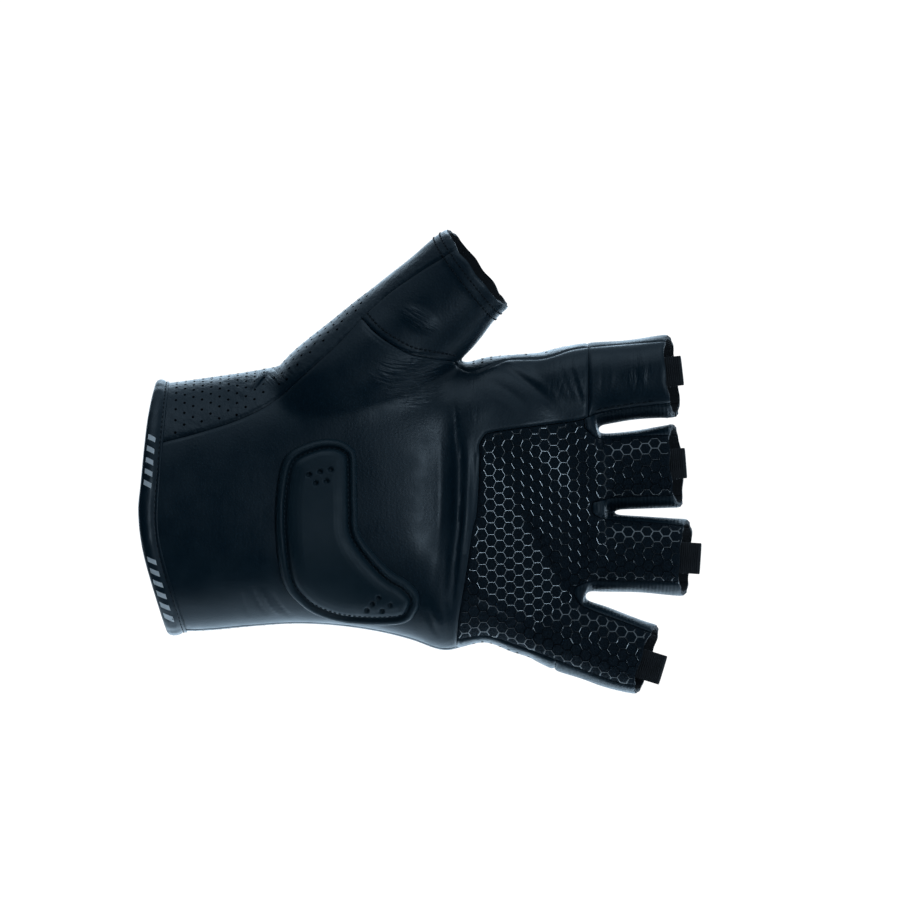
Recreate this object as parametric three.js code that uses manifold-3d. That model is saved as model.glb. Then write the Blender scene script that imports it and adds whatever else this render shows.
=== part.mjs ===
// Short-finger motorcycle glove, left hand, in its worn form.
// Millimetres. +X runs along the fingers, +Z is the thumb side, -Y is the palm side.
// The origin is the middle of the wrist opening.
import * as THREE from 'three';
import { mergeVertices } from 'three/addons/utils/BufferGeometryUtils.js';
import Module from 'manifold-3d';

const wasm = await Module();
wasm.setup();

// Driving dimensions
const wall = 1.4;              // leather and lining together
const seamGap = 0.3;           // open line between two panels
const seatGap = 0.3;           // between a piece and what carries it
const bindingCloth = 1.1;      // thickness of the folded binding
const handSides = 30;          // points round the hand
const thumbSides = 24;         // points round the thumb
const fingerSides = 20;        // points round a finger
const farFront = -60;          // a cut from the palm side starts here
const farBack = 60;            // and one from the back starts here

// Colours of the finishes
const leatherBlack = new THREE.MeshStandardMaterial({ color: 0x1b1d22, roughness: 0.5 });
const leatherPerforated = new THREE.MeshStandardMaterial({ color: 0x1d1f24, roughness: 0.55 });
const gripBlack = new THREE.MeshStandardMaterial({ color: 0x15171b, roughness: 0.7 });
const sliderRubber = new THREE.MeshStandardMaterial({ color: 0x2a2d33, roughness: 0.6 });
const ribbonBlack = new THREE.MeshStandardMaterial({ color: 0x202226, roughness: 0.8 });

// Sections of the hand: upper and lower edge, the depth on the palm side and on the back,
// and how square the section is (2 is an ellipse)
const handSections = [
  { x: -9, top: 37.4, low: -38.9, palm: 21.5, back: 21.0, square: 2.2 },
  { x: 3, top: 38.5, low: -38.5, palm: 21.5, back: 20.5, square: 2.2 },
  { x: 14, top: 40.0, low: -38.3, palm: 21.5, back: 19.5, square: 2.3 },
  { x: 28, top: 42.0, low: -37.0, palm: 21.5, back: 18.5, square: 2.4 },
  { x: 42, top: 44.5, low: -36.1, palm: 21.0, back: 17.5, square: 2.5 },
  { x: 56, top: 46.0, low: -36.8, palm: 20.0, back: 17.0, square: 2.6 },
  { x: 68, top: 46.5, low: -38.6, palm: 19.0, back: 16.5, square: 2.6 },
  { x: 78, top: 46.2, low: -41.1, palm: 18.2, back: 16.2, square: 2.6 },
  { x: 88, top: 45.0, low: -44.4, palm: 17.5, back: 16.0, square: 2.7 },
  { x: 95, top: 44.8, low: -43.0, palm: 16.8, back: 15.8, square: 2.7 },
  { x: 101, top: 46.4, low: -41.9, palm: 16.2, back: 15.5, square: 2.8 },
  { x: 110, top: 47.2, low: -44.9, palm: 15.2, back: 15.0, square: 2.8 },
  { x: 121, top: 47.8, low: -47.0, palm: 13.8, back: 14.2, square: 2.8 },
  { x: 133, top: 48.6, low: -48.4, palm: 12.2, back: 12.8, square: 2.8 },
];

// Stations where the hand's sections are taken, closer together across the palm's folds
const stations = {
  leather: [-9, 4, 20, 30, 41, 52, 63, 74, 82, 86, 89.5, 92.5, 95.5, 98, 101, 108, 116, 125, 133],
  lining: [-9, 4, 20, 36, 54, 74, 86, 89.5, 92.5, 95.5, 98, 108, 120, 133],
  cuff: [-9, 4, 20],
};

// Swellings, hollows and folds of the palm side: where, how far they spread, how far they rise
const palmRelief = [
  { name: 'ball of the thumb', x: 60, z: 30, spanX: 22, spanZ: 13, rise: 3.5 },
  { name: 'heel of the hand', x: 34, z: -18, spanX: 20, spanZ: 13, rise: 1.5 },
  { name: 'hollow of the palm', x: 86, z: 8, spanX: 22, spanZ: 14, rise: -2.2 },
  { name: 'upright fold, valley', x: 89.5, z: -3, spanX: 2.6, spanZ: 30, rise: -1.5 },
  { name: 'upright fold, crest', x: 95.5, z: -2, spanX: 2.0, spanZ: 24, rise: 1.3 },
  { name: 'leather roll', x: 86.5, z: -35, spanX: 4.5, spanZ: 8, rise: 2.0 },
];

// Where the knuckle end of the hand lies: an arc that leads at the middle finger
const knuckleArc = { lead: 138, z: 4, bend: 0.0066, from: 100, to: 133 };

// Limbs: rows of centre, half width and depth towards palm and back, from root to mouth
const limbs = {
  index: {
    angle: 6.5, sides: fingerSides, mouthSlant: 0.2, square: 2.3,
    rows: [
      { x: 112.0, y: 0.5, z: 34.6, half: 11.2, palm: 11.2, back: 11.2 },
      { x: 124.0, y: 0.3, z: 36.5, half: 12.7, palm: 11.8, back: 11.8 },
      { x: 134.5, y: 0.0, z: 38.1, half: 12.9, palm: 11.4, back: 11.6 },
      { x: 146.0, y: -0.6, z: 39.4, half: 12.3, palm: 11.0, back: 11.2 },
      { x: 158.6, y: -1.2, z: 40.6, half: 12.9, palm: 11.0, back: 11.2 },
    ],
  },
  middle: {
    angle: 4.5, sides: fingerSides, mouthSlant: 0.2, square: 2.3,
    rows: [
      { x: 112.0, y: 1.5, z: 9.1, half: 11.6, palm: 11.8, back: 11.8 },
      { x: 128.0, y: 1.3, z: 10.4, half: 12.0, palm: 12.0, back: 12.0 },
      { x: 139.0, y: 1.0, z: 10.95, half: 12.1, palm: 11.6, back: 11.8 },
      { x: 148.0, y: 0.4, z: 11.55, half: 12.35, palm: 11.3, back: 11.4 },
      { x: 160.0, y: -0.4, z: 12.7, half: 12.9, palm: 11.2, back: 11.4 },
    ],
  },
  ring: {
    angle: -3.6, sides: fingerSides, mouthSlant: 0.2, square: 2.3,
    rows: [
      { x: 112.0, y: 1.0, z: -12.6, half: 11.4, palm: 11.6, back: 11.6 },
      { x: 126.0, y: 0.8, z: -13.6, half: 11.8, palm: 11.8, back: 11.8 },
      { x: 137.0, y: 0.4, z: -14.2, half: 12.0, palm: 11.3, back: 11.5 },
      { x: 149.0, y: -0.4, z: -14.65, half: 11.75, palm: 10.9, back: 11.1 },
      { x: 162.8, y: -1.2, z: -15.65, half: 11.95, palm: 10.8, back: 11.0 },
    ],
  },
  little: {
    angle: -17, sides: fingerSides, mouthSlant: 0.2, square: 2.3,
    rows: [
      { x: 110.0, y: -1.0, z: -34.4, half: 9.0, palm: 10.0, back: 10.4 },
      { x: 124.0, y: -1.2, z: -38.7, half: 11.5, palm: 10.6, back: 10.8 },
      { x: 134.0, y: -1.4, z: -41.8, half: 11.8, palm: 10.2, back: 10.4 },
      { x: 142.0, y: -1.8, z: -44.8, half: 11.7, palm: 9.9, back: 10.0 },
      { x: 150.6, y: -2.2, z: -47.1, half: 11.2, palm: 9.8, back: 9.9 },
    ],
  },
  thumb: {
    angle: 37.2, sides: thumbSides, mouthSlant: 0.12, square: 2.25,
    rows: [
      { x: 36.0, y: -3.5, z: 25.0, half: 11.0, palm: 13.0, back: 11.0 },
      { x: 48.8, y: -4.5, z: 34.7, half: 15.0, palm: 17.5, back: 14.0 },
      { x: 63.4, y: -5.5, z: 43.6, half: 17.3, palm: 17.5, back: 15.0 },
      { x: 76.8, y: -6.5, z: 54.0, half: 17.4, palm: 15.5, back: 14.8 },
      { x: 87.3, y: -7.8, z: 63.2, half: 16.7, palm: 14.0, back: 14.0 },
      { x: 98.3, y: -9.0, z: 73.8, half: 15.2, palm: 13.0, back: 13.2 },
    ],
  },
};

// Seams and edges as drawn from the palm side, each a short run of x, z points
const seams = {
  cuffEdge: [[3.4, -42], [1.0, -33.5], [-4.2, -14], [-5.7, -1.5], [-5.0, 8], [-3.0, 28.4], [-0.4, 42]],
  cuffStitch: [
    [8.6, -42], [7.9, -37], [4.5, -25.5], [1.6, -15.2], [0, -4], [1.0, 14], [2.2, 28.4], [2.9, 42],
  ],
  thumbEdge: [
    [-9, 17.6], [2.3, 20.4], [12.2, 23], [25.1, 27.2], [35.3, 32.6], [46.2, 42], [56.2, 51.3], [62.6, 58.4],
  ],
  thumbUpper: [[62.6, 58.4], [71.3, 66.2], [81.6, 73.3], [89.6, 78.1], [104, 88]],
  thumbBase: [[62.6, 58.4], [66.3, 54.3], [71.3, 50.5], [77.5, 47.2], [83.7, 45.8], [91.5, 44.5]],
  thumbWeb: [[91.5, 44.5], [95.2, 46.2], [98.9, 49.4], [101.0, 53.2], [106, 57.5], [114, 64]],
  crotch: [[91.5, 44.5], [94.2, 42.3], [98.6, 41.7]],
  indexUpper: [[98.6, 41.7], [104.4, 44.3], [108.5, 45.6], [118.8, 46], [127.1, 48.6], [132.7, 49.5]],
  indexUpperTip: [[132.7, 49.5], [139.5, 50.1], [166, 52.2]],
  indexLower: [[166, 32.9], [149.2, 30.8], [139.3, 29.3], [132.7, 28.0]],
  gripTop: [[131.3, 27.4], [127.1, 26.4], [114.7, 24.9], [102.3, 23], [100.2, 21.6], [99, 19.1]],
  gripLeft: [
    [99, 19.1], [98.8, 12.5], [98, -4], [96.1, -8.2], [94.6, -18.5], [93.5, -28.8], [92.2, -39.2], [92.2, -52],
  ],
  middleUpper: [[131.5, 24.6], [134.2, 22.2], [136.9, 21.4], [146.3, 22.1], [166, 22.9]],
  middleLower: [[166, 3.3], [149.2, 2.9], [137.4, 2.1], [133.6, 1.2]],
  ringUpper: [[133.8, -1.6], [136.9, -3.3], [149.2, -4.2], [168, -6.0]],
  ringLower: [[168, -23.3], [145.7, -23.4], [132.8, -23.4], [128.4, -25.2]],
  littleUpper: [[128.2, -27], [130.2, -29.8], [135.4, -32.2], [143.1, -35], [160, -41.4]],
  littleLower: [
    [156, -59.6], [147, -55.8], [140.5, -54.2], [130.2, -50.4], [119.9, -46.6], [110.6, -43.2],
    [101, -40.2], [92.2, -41.4],
  ],
};

// Slider on the heel of the palm
const slider = {
  outline: [
    [39.4, 15.6], [47.4, 20.3], [54.8, 21.0], [59.8, 18.5], [61.3, 14.6], [61.6, 0], [62.6, -8.6],
    [70.7, -18.7], [77.1, -23.1], [80.6, -27.6], [80.1, -32.6], [75.4, -36.4], [60.8, -36.0],
    [50.8, -34.0], [43.4, -30.1], [38.4, -22.6], [36.4, -8], [36.7, 5],
  ],
  points: 32,        // along the outline
  flange: 0.9,       // height of the sewing groove's floor above the leather
  rimHeight: 2.3,
  rimWidth: 2.4,
  grooveWidth: 2.1,
  padHeight: 2.9,
  padCrown: 3.6,
  padBevel: 1.6,
  dimpleWidth: 1.6,
  dimpleDepth: 0.7,
};
const dimples = [
  [46.6, 10.1], [50.0, 11.0], [53.3, 11.6], [48.7, 7.5], [52.0, 8.1],
  [67.9, -27.8], [66.0, -29.7], [64.3, -31.6], [71.5, -30.0], [69.0, -31.9],
];

const drill = { length: 8, sides: 6 };

// Ribbon loops at the finger mouths: where the mouth's front edge is, and how wide each is
const tabs = [
  { finger: 'index', x: 155.8, z: 41.6, width: 9.2, reach: 6.0 },
  { finger: 'middle', x: 156.9, z: 13.2, width: 9.4, reach: 6.0 },
  { finger: 'ring', x: 160.8, z: -15.5, width: 9.6, reach: 6.6 },
  { finger: 'little', x: 149.7, z: -48.6, width: 9.2, reach: 6.4 },
];
const tabCloth = 0.8;
const tabSlit = 0.35;
const tabRoot = 5.0;
const facetDepth = 0.3;        // how far a flat facet of a finger's wall lies inside its curve

const radians = (degrees) => (degrees * Math.PI) / 180;
const signedPower = (value, power) => Math.sign(value) * Math.abs(value) ** power;

// A smooth value between the rows of a table (Catmull-Rom)
function between(rows, x, column) {
  const last = rows.length - 1;
  let i = rows.findIndex((row) => row.x > x) - 1;
  if (i < 0) i = x <= rows[0].x ? 0 : last - 1;
  const at = (k) => rows[Math.min(last, Math.max(0, k))][column];
  const t = Math.min(1, Math.max(0, (x - rows[i].x) / (rows[i + 1].x - rows[i].x)));
  const [a, b, c, d] = [at(i - 1), at(i), at(i + 1), at(i + 2)];
  return b + 0.5 * t * (c - a + t * (2 * a - 5 * b + 4 * c - d + t * (3 * (b - c) + d - a)));
}

const sectionAt = (x, columns) => columns.map((column) => between(handSections, x, column));

// A closed body from rings of points, all with the same number of points; each end is closed
// by a ladder of triangles from one side of its ring to the other, so that it can be curved
function bodyFromRings(rings) {
  const count = rings[0].length;
  const positions = rings.flat().flatMap((point) => point.toArray());
  const faces = [];
  for (let r = 0; r < rings.length - 1; r += 1) {
    for (let k = 0; k < count; k += 1) {
      const a = r * count + k;
      const b = r * count + ((k + 1) % count);
      faces.push(a, a + count, b, b, a + count, b + count);
    }
  }
  const lastRing = (rings.length - 1) * count;
  const closeEnds = (a, b, c) => faces.push(a, b, c, lastRing + a, lastRing + c, lastRing + b);
  for (let low = 0, high = count - 1; high - low > 1; high -= 1) {
    closeEnds(low, low + 1, high);
    low += 1;
    if (high - low > 1) closeEnds(low, high - 1, high);
  }
  const geometry = new THREE.BufferGeometry();
  geometry.setAttribute('position', new THREE.Float32BufferAttribute(positions, 3));
  geometry.setIndex(faces);
  return solid(geometry);
}

// A manifold solid from a closed three.js geometry
function solid(geometry) {
  const bare = geometry.clone();
  bare.deleteAttribute('normal');
  bare.deleteAttribute('uv');
  const merged = mergeVertices(bare, 1e-4);
  const mesh = new wasm.Mesh({
    numProp: 3,
    vertProperties: new Float32Array(merged.attributes.position.array),
    triVerts: new Uint32Array(merged.index.array),
  });
  return new wasm.Manifold(mesh);
}

// The largest body of a solid, without the slivers that a cut can leave
function mainBody(part) {
  const bodies = part.decompose();
  return bodies.reduce((best, body) => (body.volume() > best.volume() ? body : best));
}

function fuse(parts) {
  return parts.reduce((whole, part) => whole.add(part));
}

// How far the palm side rises at a point
function reliefAt(x, z) {
  return palmRelief.reduce((sum, form) => {
    const across = ((x - form.x) / form.spanX) ** 2 + ((z - form.z) / form.spanZ) ** 2;
    return sum + form.rise * Math.exp(-across);
  }, 0);
}

// The hand as a closed body through some stations, its surface moved outwards by grow
function hand(grow, places = stations.leather) {
  const rings = places.map((x) => {
    const [top, low, palm, back, square] = sectionAt(x, ['top', 'low', 'palm', 'back', 'square']);
    const half = (top - low) / 2 + grow;
    const centre = (top + low) / 2;
    const lead = Math.min(1, Math.max(0, (x - knuckleArc.from) / (knuckleArc.to - knuckleArc.from)));
    const ring = [];
    for (let k = 0; k < handSides; k += 1) {
      const angle = (2 * Math.PI * k) / handSides;
      const z = centre + half * signedPower(Math.cos(angle), 2 / square);
      const side = signedPower(Math.sin(angle), 2 / square);
      const depth = side < 0 ? palm + grow + reliefAt(x, z) : back + grow;
      const arc = knuckleArc.lead - knuckleArc.bend * (z - knuckleArc.z) ** 2 - knuckleArc.to;
      const end = x === knuckleArc.to ? grow : 0;
      ring.push(new THREE.Vector3(x + lead ** 2 * arc + end, depth * side, z));
    }
    return ring;
  });
  return bodyFromRings(rings);
}

// A finger or the thumb as a closed body; an inner form runs on past the mouth
function limb(form, grow) {
  const angle = radians(form.angle);
  const along = new THREE.Vector3(Math.cos(angle), 0, Math.sin(angle));
  const across = new THREE.Vector3(-Math.sin(angle), 0, Math.cos(angle));
  const rows = form.rows.map((row) => ({ ...row, slant: 0 }));
  rows[rows.length - 1].slant = form.mouthSlant;
  if (grow < 0) {
    const mouth = rows[rows.length - 1];
    const beyond = new THREE.Vector3(mouth.x, mouth.y, mouth.z).addScaledVector(along, 4);
    rows.push({ ...mouth, x: beyond.x, z: beyond.z });
  }
  const rings = rows.map((row) => {
    const ring = [];
    for (let k = 0; k < form.sides; k += 1) {
      const turn = (2 * Math.PI * (k + 0.5)) / form.sides;
      const width = (row.half + grow) * signedPower(Math.cos(turn), 2 / form.square);
      const side = signedPower(Math.sin(turn), 2 / form.square);
      const depth = side * ((side < 0 ? row.palm : row.back) + grow);
      const point = new THREE.Vector3(row.x, row.y + depth, row.z);
      point.addScaledVector(across, width);
      point.addScaledVector(along, row.slant * depth);
      ring.push(point);
    }
    return ring;
  });
  return bodyFromRings(rings);
}

const allLimbs = (grow) => Object.values(limbs).map((form) => limb(form, grow));

// An outline moved outwards by distance (inwards if negative), its points in either order
function offsetOutline(points, distance) {
  const count = points.length;
  const area = points.reduce((sum, [x, z], i) => {
    const [nextX, nextZ] = points[(i + 1) % count];
    return sum + x * nextZ - nextX * z;
  }, 0);
  const outward = Math.sign(area);
  return points.map(([x, z], i) => {
    const [beforeX, beforeZ] = points[(i + count - 1) % count];
    const [afterX, afterZ] = points[(i + 1) % count];
    const into = new THREE.Vector2(x - beforeX, z - beforeZ).normalize();
    const out = new THREE.Vector2(afterX - x, afterZ - z).normalize();
    const normal = new THREE.Vector2(into.y + out.y, -into.x - out.x).normalize();
    const stretch = 1 / Math.max(0.5, normal.dot(new THREE.Vector2(into.y, -into.x)));
    return [x + outward * distance * stretch * normal.x, z + outward * distance * stretch * normal.y];
  });
}

// An outline moved inwards, without the points that a tight bend would turn over
function insetOutline(points, distance) {
  const closest = 0.8;
  const apart = ([x, z]) => Math.min(...points.map(([startX, startZ], i) => {
    const [endX, endZ] = points[(i + 1) % points.length];
    const run = new THREE.Vector2(endX - startX, endZ - startZ);
    const to = new THREE.Vector2(x - startX, z - startZ);
    const share = Math.min(1, Math.max(0, to.dot(run) / run.lengthSq()));
    return to.addScaledVector(run, -share).length();
  }));
  const kept = offsetOutline(points, -distance).filter((point) => apart(point) > distance - 0.05);
  return kept.filter(([x, z], i) => {
    const [beforeX, beforeZ] = kept[(i + kept.length - 1) % kept.length];
    return Math.hypot(x - beforeX, z - beforeZ) > closest;
  });
}

// A cutter: an outline drawn from the palm side, carried through from one depth to another
function prism(points, from, to) {
  const shape = new THREE.Shape(points.map(([x, z]) => new THREE.Vector2(x, z)));
  const geometry = new THREE.ExtrudeGeometry(shape, { depth: to - from, bevelEnabled: false });
  geometry.rotateX(Math.PI / 2);
  geometry.translate(0, to, 0);
  return solid(geometry);
}

// One outline from several runs of points, without repeating shared ends
function chain(...runs) {
  const points = runs.flat();
  return points.filter(([x, z], i) => {
    const [beforeX, beforeZ] = points[(i + points.length - 1) % points.length];
    return Math.hypot(x - beforeX, z - beforeZ) > 0.01;
  });
}

const reversed = (run) => [...run].reverse();
const shrunk = (outline, from, to) => prism(offsetOutline(outline, -seamGap / 2), from, to);
const grown = (outline, from, to) => prism(offsetOutline(outline, seamGap / 2), from, to + seamGap);

// Outlines of the panels seen from the palm side, and how deep each reaches
const panels = {
  palm_panel: {
    outline: chain(
      seams.thumbEdge, seams.thumbBase, seams.crotch, seams.indexUpper,
      seams.indexLower.slice(-1), seams.gripTop, seams.gripLeft, [[-9, -52]],
    ),
    reach: -4.5,
  },
  thumb_front: {
    outline: chain(seams.thumbUpper, [[118, 80]], reversed(seams.thumbWeb), reversed(seams.thumbBase)),
    reach: -6,
  },
  index_face: {
    outline: chain(seams.indexUpperTip, seams.indexLower),
    reach: 0,
  },
  grip_panel: {
    outline: chain(
      reversed(seams.gripLeft).slice(1), reversed(seams.gripTop), seams.middleUpper,
      seams.middleLower, seams.ringUpper, seams.ringLower, seams.littleUpper, seams.littleLower,
    ),
    reach: -2,
  },
};

// Side strips between two fingers, cut through from palm side to back
const fourchettes = {
  fourchette_index_middle: chain(
    [seams.gripTop[0]], reversed(seams.indexLower), reversed(seams.middleUpper),
  ),
  fourchette_middle_ring: chain(reversed(seams.middleLower), reversed(seams.ringUpper)),
  fourchette_ring_little: chain(reversed(seams.ringLower), reversed(seams.littleUpper)),
};

// Backs of the finger sleeves, drawn as bands between the side strips
const sleeveBacks = {
  index_back: [[132.7, 26.5], [132.7, 62], [170, 62], [170, 26.5]],
  middle_back: [[133.2, 24.4], [170, 24.4], [170, -1], [133.2, -1]],
  ring_back: [[131.6, -0.7], [172, -0.7], [172, -25.6], [130.2, -25.6]],
  little_back: [[127.0, -27.5], [165, -32], [165, -70], [118.0, -70]],
};

const outer = fuse([hand(0), ...allLimbs(0)]);
const inner = fuse([hand(-wall, stations.lining), ...allLimbs(-wall)]);
const pastGlove = [[1.0, 110], [190, 110], [190, -90], [4.8, -90]];
const cuffCut = chain(seams.cuffEdge.map(([x, z]) => [x + bindingCloth + seatGap, z]), pastGlove);
const shell = outer.subtract(inner).intersect(prism(cuffCut, farFront, farBack));

function panelBody(name) {
  const { outline, reach } = panels[name];
  return mainBody(shell.intersect(shrunk(outline, farFront, reach)));
}

// What is left of the shell once the panels of the palm side and the side strips are out
function backOfGlove() {
  const fronts = Object.values(panels).map(({ outline, reach }) => grown(outline, farFront, reach));
  const strips = Object.values(fourchettes).map((outline) => grown(outline, farFront, farBack));
  return [...fronts, ...strips].reduce((rest, cutter) => rest.subtract(cutter), shell);
}

// The binding: a fold of leather over the wrist edge, open towards the glove
function cuffBinding() {
  const outline = chain(seams.cuffEdge, reversed(seams.cuffStitch));
  const ring = (high, low) => hand(high, stations.cuff).subtract(hand(low, stations.cuff));
  const fold = ring(seatGap + bindingCloth, -wall - seatGap - bindingCloth);
  const channel = ring(seatGap, -wall - seatGap);
  const pocket = chain(
    seams.cuffEdge.map(([x, z]) => [x + bindingCloth, z]),
    reversed(seams.cuffStitch).map(([x, z]) => [x + 3, z]),
  );
  const slot = channel.intersect(prism(pocket, farFront, farBack));
  return mainBody(fold.intersect(prism(outline, farFront, farBack)).subtract(slot));
}

// The slider: a sewn flange that carries a rim round a raised pad with two groups of dimples
function palmSlider() {
  const bends = [...slider.outline, slider.outline[0]];
  const curve = new THREE.SplineCurve(bends.map(([x, z]) => new THREE.Vector2(x, z)));
  const edge = curve.getPoints(slider.points).slice(0, -1).map((point) => [point.x, point.y]);
  const seat = fuse([hand(seatGap), limb(limbs.thumb, seatGap)]);
  const layer = (inset, height) => hand(seatGap + height)
    .intersect(prism(insetOutline(edge, inset), farFront, 0))
    .subtract(seat);
  const padInset = slider.rimWidth + slider.grooveWidth;
  const withinRim = prism(insetOutline(edge, slider.rimWidth), farFront, 0);
  const rim = layer(0, slider.rimHeight).subtract(withinRim);
  const body = fuse([
    layer(0.4, slider.flange),
    rim,
    layer(padInset, slider.padHeight),
    layer(padInset + slider.padBevel, slider.padCrown),
  ]);
  const drills = dimples.map(([x, z]) => {
    const radius = slider.dimpleWidth / 2;
    const geometry = new THREE.CylinderGeometry(radius, radius, drill.length, drill.sides);
    const floor = surfaceDepth(x, z) - seatGap - slider.padCrown + slider.dimpleDepth;
    geometry.translate(x, floor - drill.length / 2, z);
    return solid(geometry);
  });
  return mainBody(drills.reduce((rest, hole) => rest.subtract(hole), body));
}

// The y of the palm side's surface at a place
function surfaceDepth(x, z) {
  const [top, low, palm, square] = sectionAt(x, ['top', 'low', 'palm', 'square']);
  const across = Math.min(1, Math.abs(z - (top + low) / 2) / ((top - low) / 2));
  return -(palm + reliefAt(x, z)) * (1 - across ** square) ** (1 / square);
}

// A ribbon folded in two, its fold past the mouth and its ends inside the finger
function pullTab(tab) {
  const thick = 2 * tabCloth + tabSlit;
  const nose = tab.reach - thick / 2;
  const profile = new THREE.Shape();
  profile.moveTo(-tabRoot, 0);
  profile.lineTo(nose, 0);
  profile.absarc(nose, thick / 2, thick / 2, -Math.PI / 2, Math.PI / 2, false);
  profile.lineTo(-tabRoot, thick);
  profile.lineTo(-tabRoot, tabCloth + tabSlit);
  profile.lineTo(nose, tabCloth + tabSlit);
  profile.lineTo(nose, tabCloth);
  profile.lineTo(-tabRoot, tabCloth);
  const settings = { depth: tab.width, bevelEnabled: false, curveSegments: 8 };
  const geometry = new THREE.ExtrudeGeometry(profile, settings);
  geometry.translate(0, 0, -tab.width / 2);
  return geometry;
}

// A three.js geometry from a solid
function geometryOf(part) {
  const mesh = part.getMesh();
  const geometry = new THREE.BufferGeometry();
  geometry.setAttribute('position', new THREE.Float32BufferAttribute(mesh.vertProperties, 3));
  geometry.setIndex([...mesh.triVerts]);
  geometry.computeVertexNormals();
  return geometry;
}

const group = new THREE.Group();

function piece(name, geometry, material, parent = group) {
  const mesh = new THREE.Mesh(geometry, material);
  mesh.name = name;
  parent.add(mesh);
  return mesh;
}

// Leather and grip panels of the palm side
piece('palm_panel', geometryOf(panelBody('palm_panel')), leatherBlack);
piece('thumb_front', geometryOf(panelBody('thumb_front')), leatherBlack);
piece('index_face', geometryOf(panelBody('index_face')), leatherBlack);
piece('grip_panel', geometryOf(panelBody('grip_panel')), gripBlack);

// Strips between the fingers
Object.entries(fourchettes).forEach(([name, outline]) => {
  piece(name, geometryOf(mainBody(shell.intersect(shrunk(outline, farFront, farBack)))), leatherBlack);
});

// Back of the hand and backs of the finger sleeves
const back = backOfGlove();
Object.entries(sleeveBacks).forEach(([name, outline]) => {
  piece(name, geometryOf(mainBody(back.intersect(shrunk(outline, farFront, farBack)))), leatherBlack);
});
const handBack = Object.values(sleeveBacks)
  .reduce((rest, outline) => rest.subtract(grown(outline, farFront, farBack)), back);
piece('back_panel', geometryOf(mainBody(handBack)), leatherPerforated);

// Binding and slider
piece('cuff_binding', geometryOf(cuffBinding()), leatherBlack);
piece('palm_slider', geometryOf(palmSlider()), sliderRubber);

// Ribbon loops, each turned with its finger and set just inside its front wall
tabs.forEach((tab) => {
  const form = limbs[tab.finger];
  const mouth = form.rows.at(-1);
  const before = form.rows.at(-2);
  const lean = Math.atan2(mouth.y - mouth.palm - before.y + before.palm, mouth.x - before.x);
  const angle = radians(form.angle);
  const offAxis = (mouth.x - tab.x) * Math.sin(angle) + (tab.z - mouth.z) * Math.cos(angle);
  const across = (Math.abs(offAxis) + tab.width / 2) / (mouth.half - wall);
  const frontWall = mouth.y - (mouth.palm - wall) * (1 - across ** form.square) ** (1 / form.square);
  const mesh = piece(`pull_tab_${tab.finger}`, pullTab(tab), ribbonBlack);
  mesh.position.set(tab.x, frontWall + facetDepth + seatGap, tab.z);
  mesh.rotation.set(0, -angle, lean);
});

export default group;
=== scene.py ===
# %% [markdown]
# # A short-finger leather motorcycle glove
# The solids of the glove come in as a fixed frame. They have the right size and the right seams,
# but flat facets. This lesson makes the fine surface that is seen: one smooth glove form, cut into
# its leather and fabric panels, then the slider, the printed mesh, the bindings, ribbons and
# stitches, each with its own finish. Every length in the lesson is in millimetres until a mesh is
# made, because glove makers measure that way.

import math

import bpy
import numpy as np
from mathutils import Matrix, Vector
from mathutils.bvhtree import BVHTree


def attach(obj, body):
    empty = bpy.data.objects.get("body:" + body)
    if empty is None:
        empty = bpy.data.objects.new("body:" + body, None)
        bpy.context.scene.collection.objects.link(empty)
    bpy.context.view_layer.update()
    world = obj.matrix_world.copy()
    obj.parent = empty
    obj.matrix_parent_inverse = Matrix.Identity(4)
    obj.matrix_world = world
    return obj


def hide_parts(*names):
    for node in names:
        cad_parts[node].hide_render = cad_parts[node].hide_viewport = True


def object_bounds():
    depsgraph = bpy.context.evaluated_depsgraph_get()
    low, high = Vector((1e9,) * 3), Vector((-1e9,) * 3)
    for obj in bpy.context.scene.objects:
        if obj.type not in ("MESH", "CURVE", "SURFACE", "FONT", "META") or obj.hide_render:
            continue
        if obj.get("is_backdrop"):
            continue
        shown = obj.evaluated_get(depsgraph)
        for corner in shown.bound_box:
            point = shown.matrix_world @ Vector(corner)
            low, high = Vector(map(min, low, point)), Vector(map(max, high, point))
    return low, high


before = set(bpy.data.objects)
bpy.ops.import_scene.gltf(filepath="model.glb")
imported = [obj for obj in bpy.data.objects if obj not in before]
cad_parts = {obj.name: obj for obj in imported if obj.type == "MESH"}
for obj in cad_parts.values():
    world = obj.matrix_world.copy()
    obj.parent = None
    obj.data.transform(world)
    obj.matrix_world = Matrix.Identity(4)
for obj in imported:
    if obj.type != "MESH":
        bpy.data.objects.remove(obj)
cad_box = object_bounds()
MM = 0.001


def placed(name, data):
    """A new object in the scene that holds some data."""
    obj = bpy.data.objects.new(name, data)
    bpy.context.scene.collection.objects.link(obj)
    return obj


print("frame:", len(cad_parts), "solids")

# %% [markdown]
# ## Camera
# The photograph was taken level, square to the palm and from far away, so that nothing is
# foreshortened. A long lens a long way off gives that. The frame's width is known from the scale
# of the photograph, and the distance follows from the lens.

# %% Camera
PIXEL = 0.31                      # mm that one pixel of the photograph covers
PICTURE = 900                     # pixels across the photograph
WRIST_PIXEL = (160, 507)          # where the middle of the wrist opening is in it
LENS = 300.0
SENSOR = 36.0

view_x = (PICTURE / 2 - WRIST_PIXEL[0]) * PIXEL
view_z = (WRIST_PIXEL[1] - PICTURE / 2) * PIXEL
distance = PICTURE * PIXEL * LENS / SENSOR

camera_data = bpy.data.cameras.new("camera")
camera_data.lens = LENS
camera_data.sensor_width = SENSOR
camera_data.clip_end = 20.0
camera = placed("camera", camera_data)
camera.location = (view_x * MM, -distance * MM, view_z * MM)
camera.rotation_euler = (math.radians(90), 0, 0)
bpy.context.scene.camera = camera
bpy.context.scene.view_settings.view_transform = "Standard"
print("camera distance in mm:", round(distance))

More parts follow.
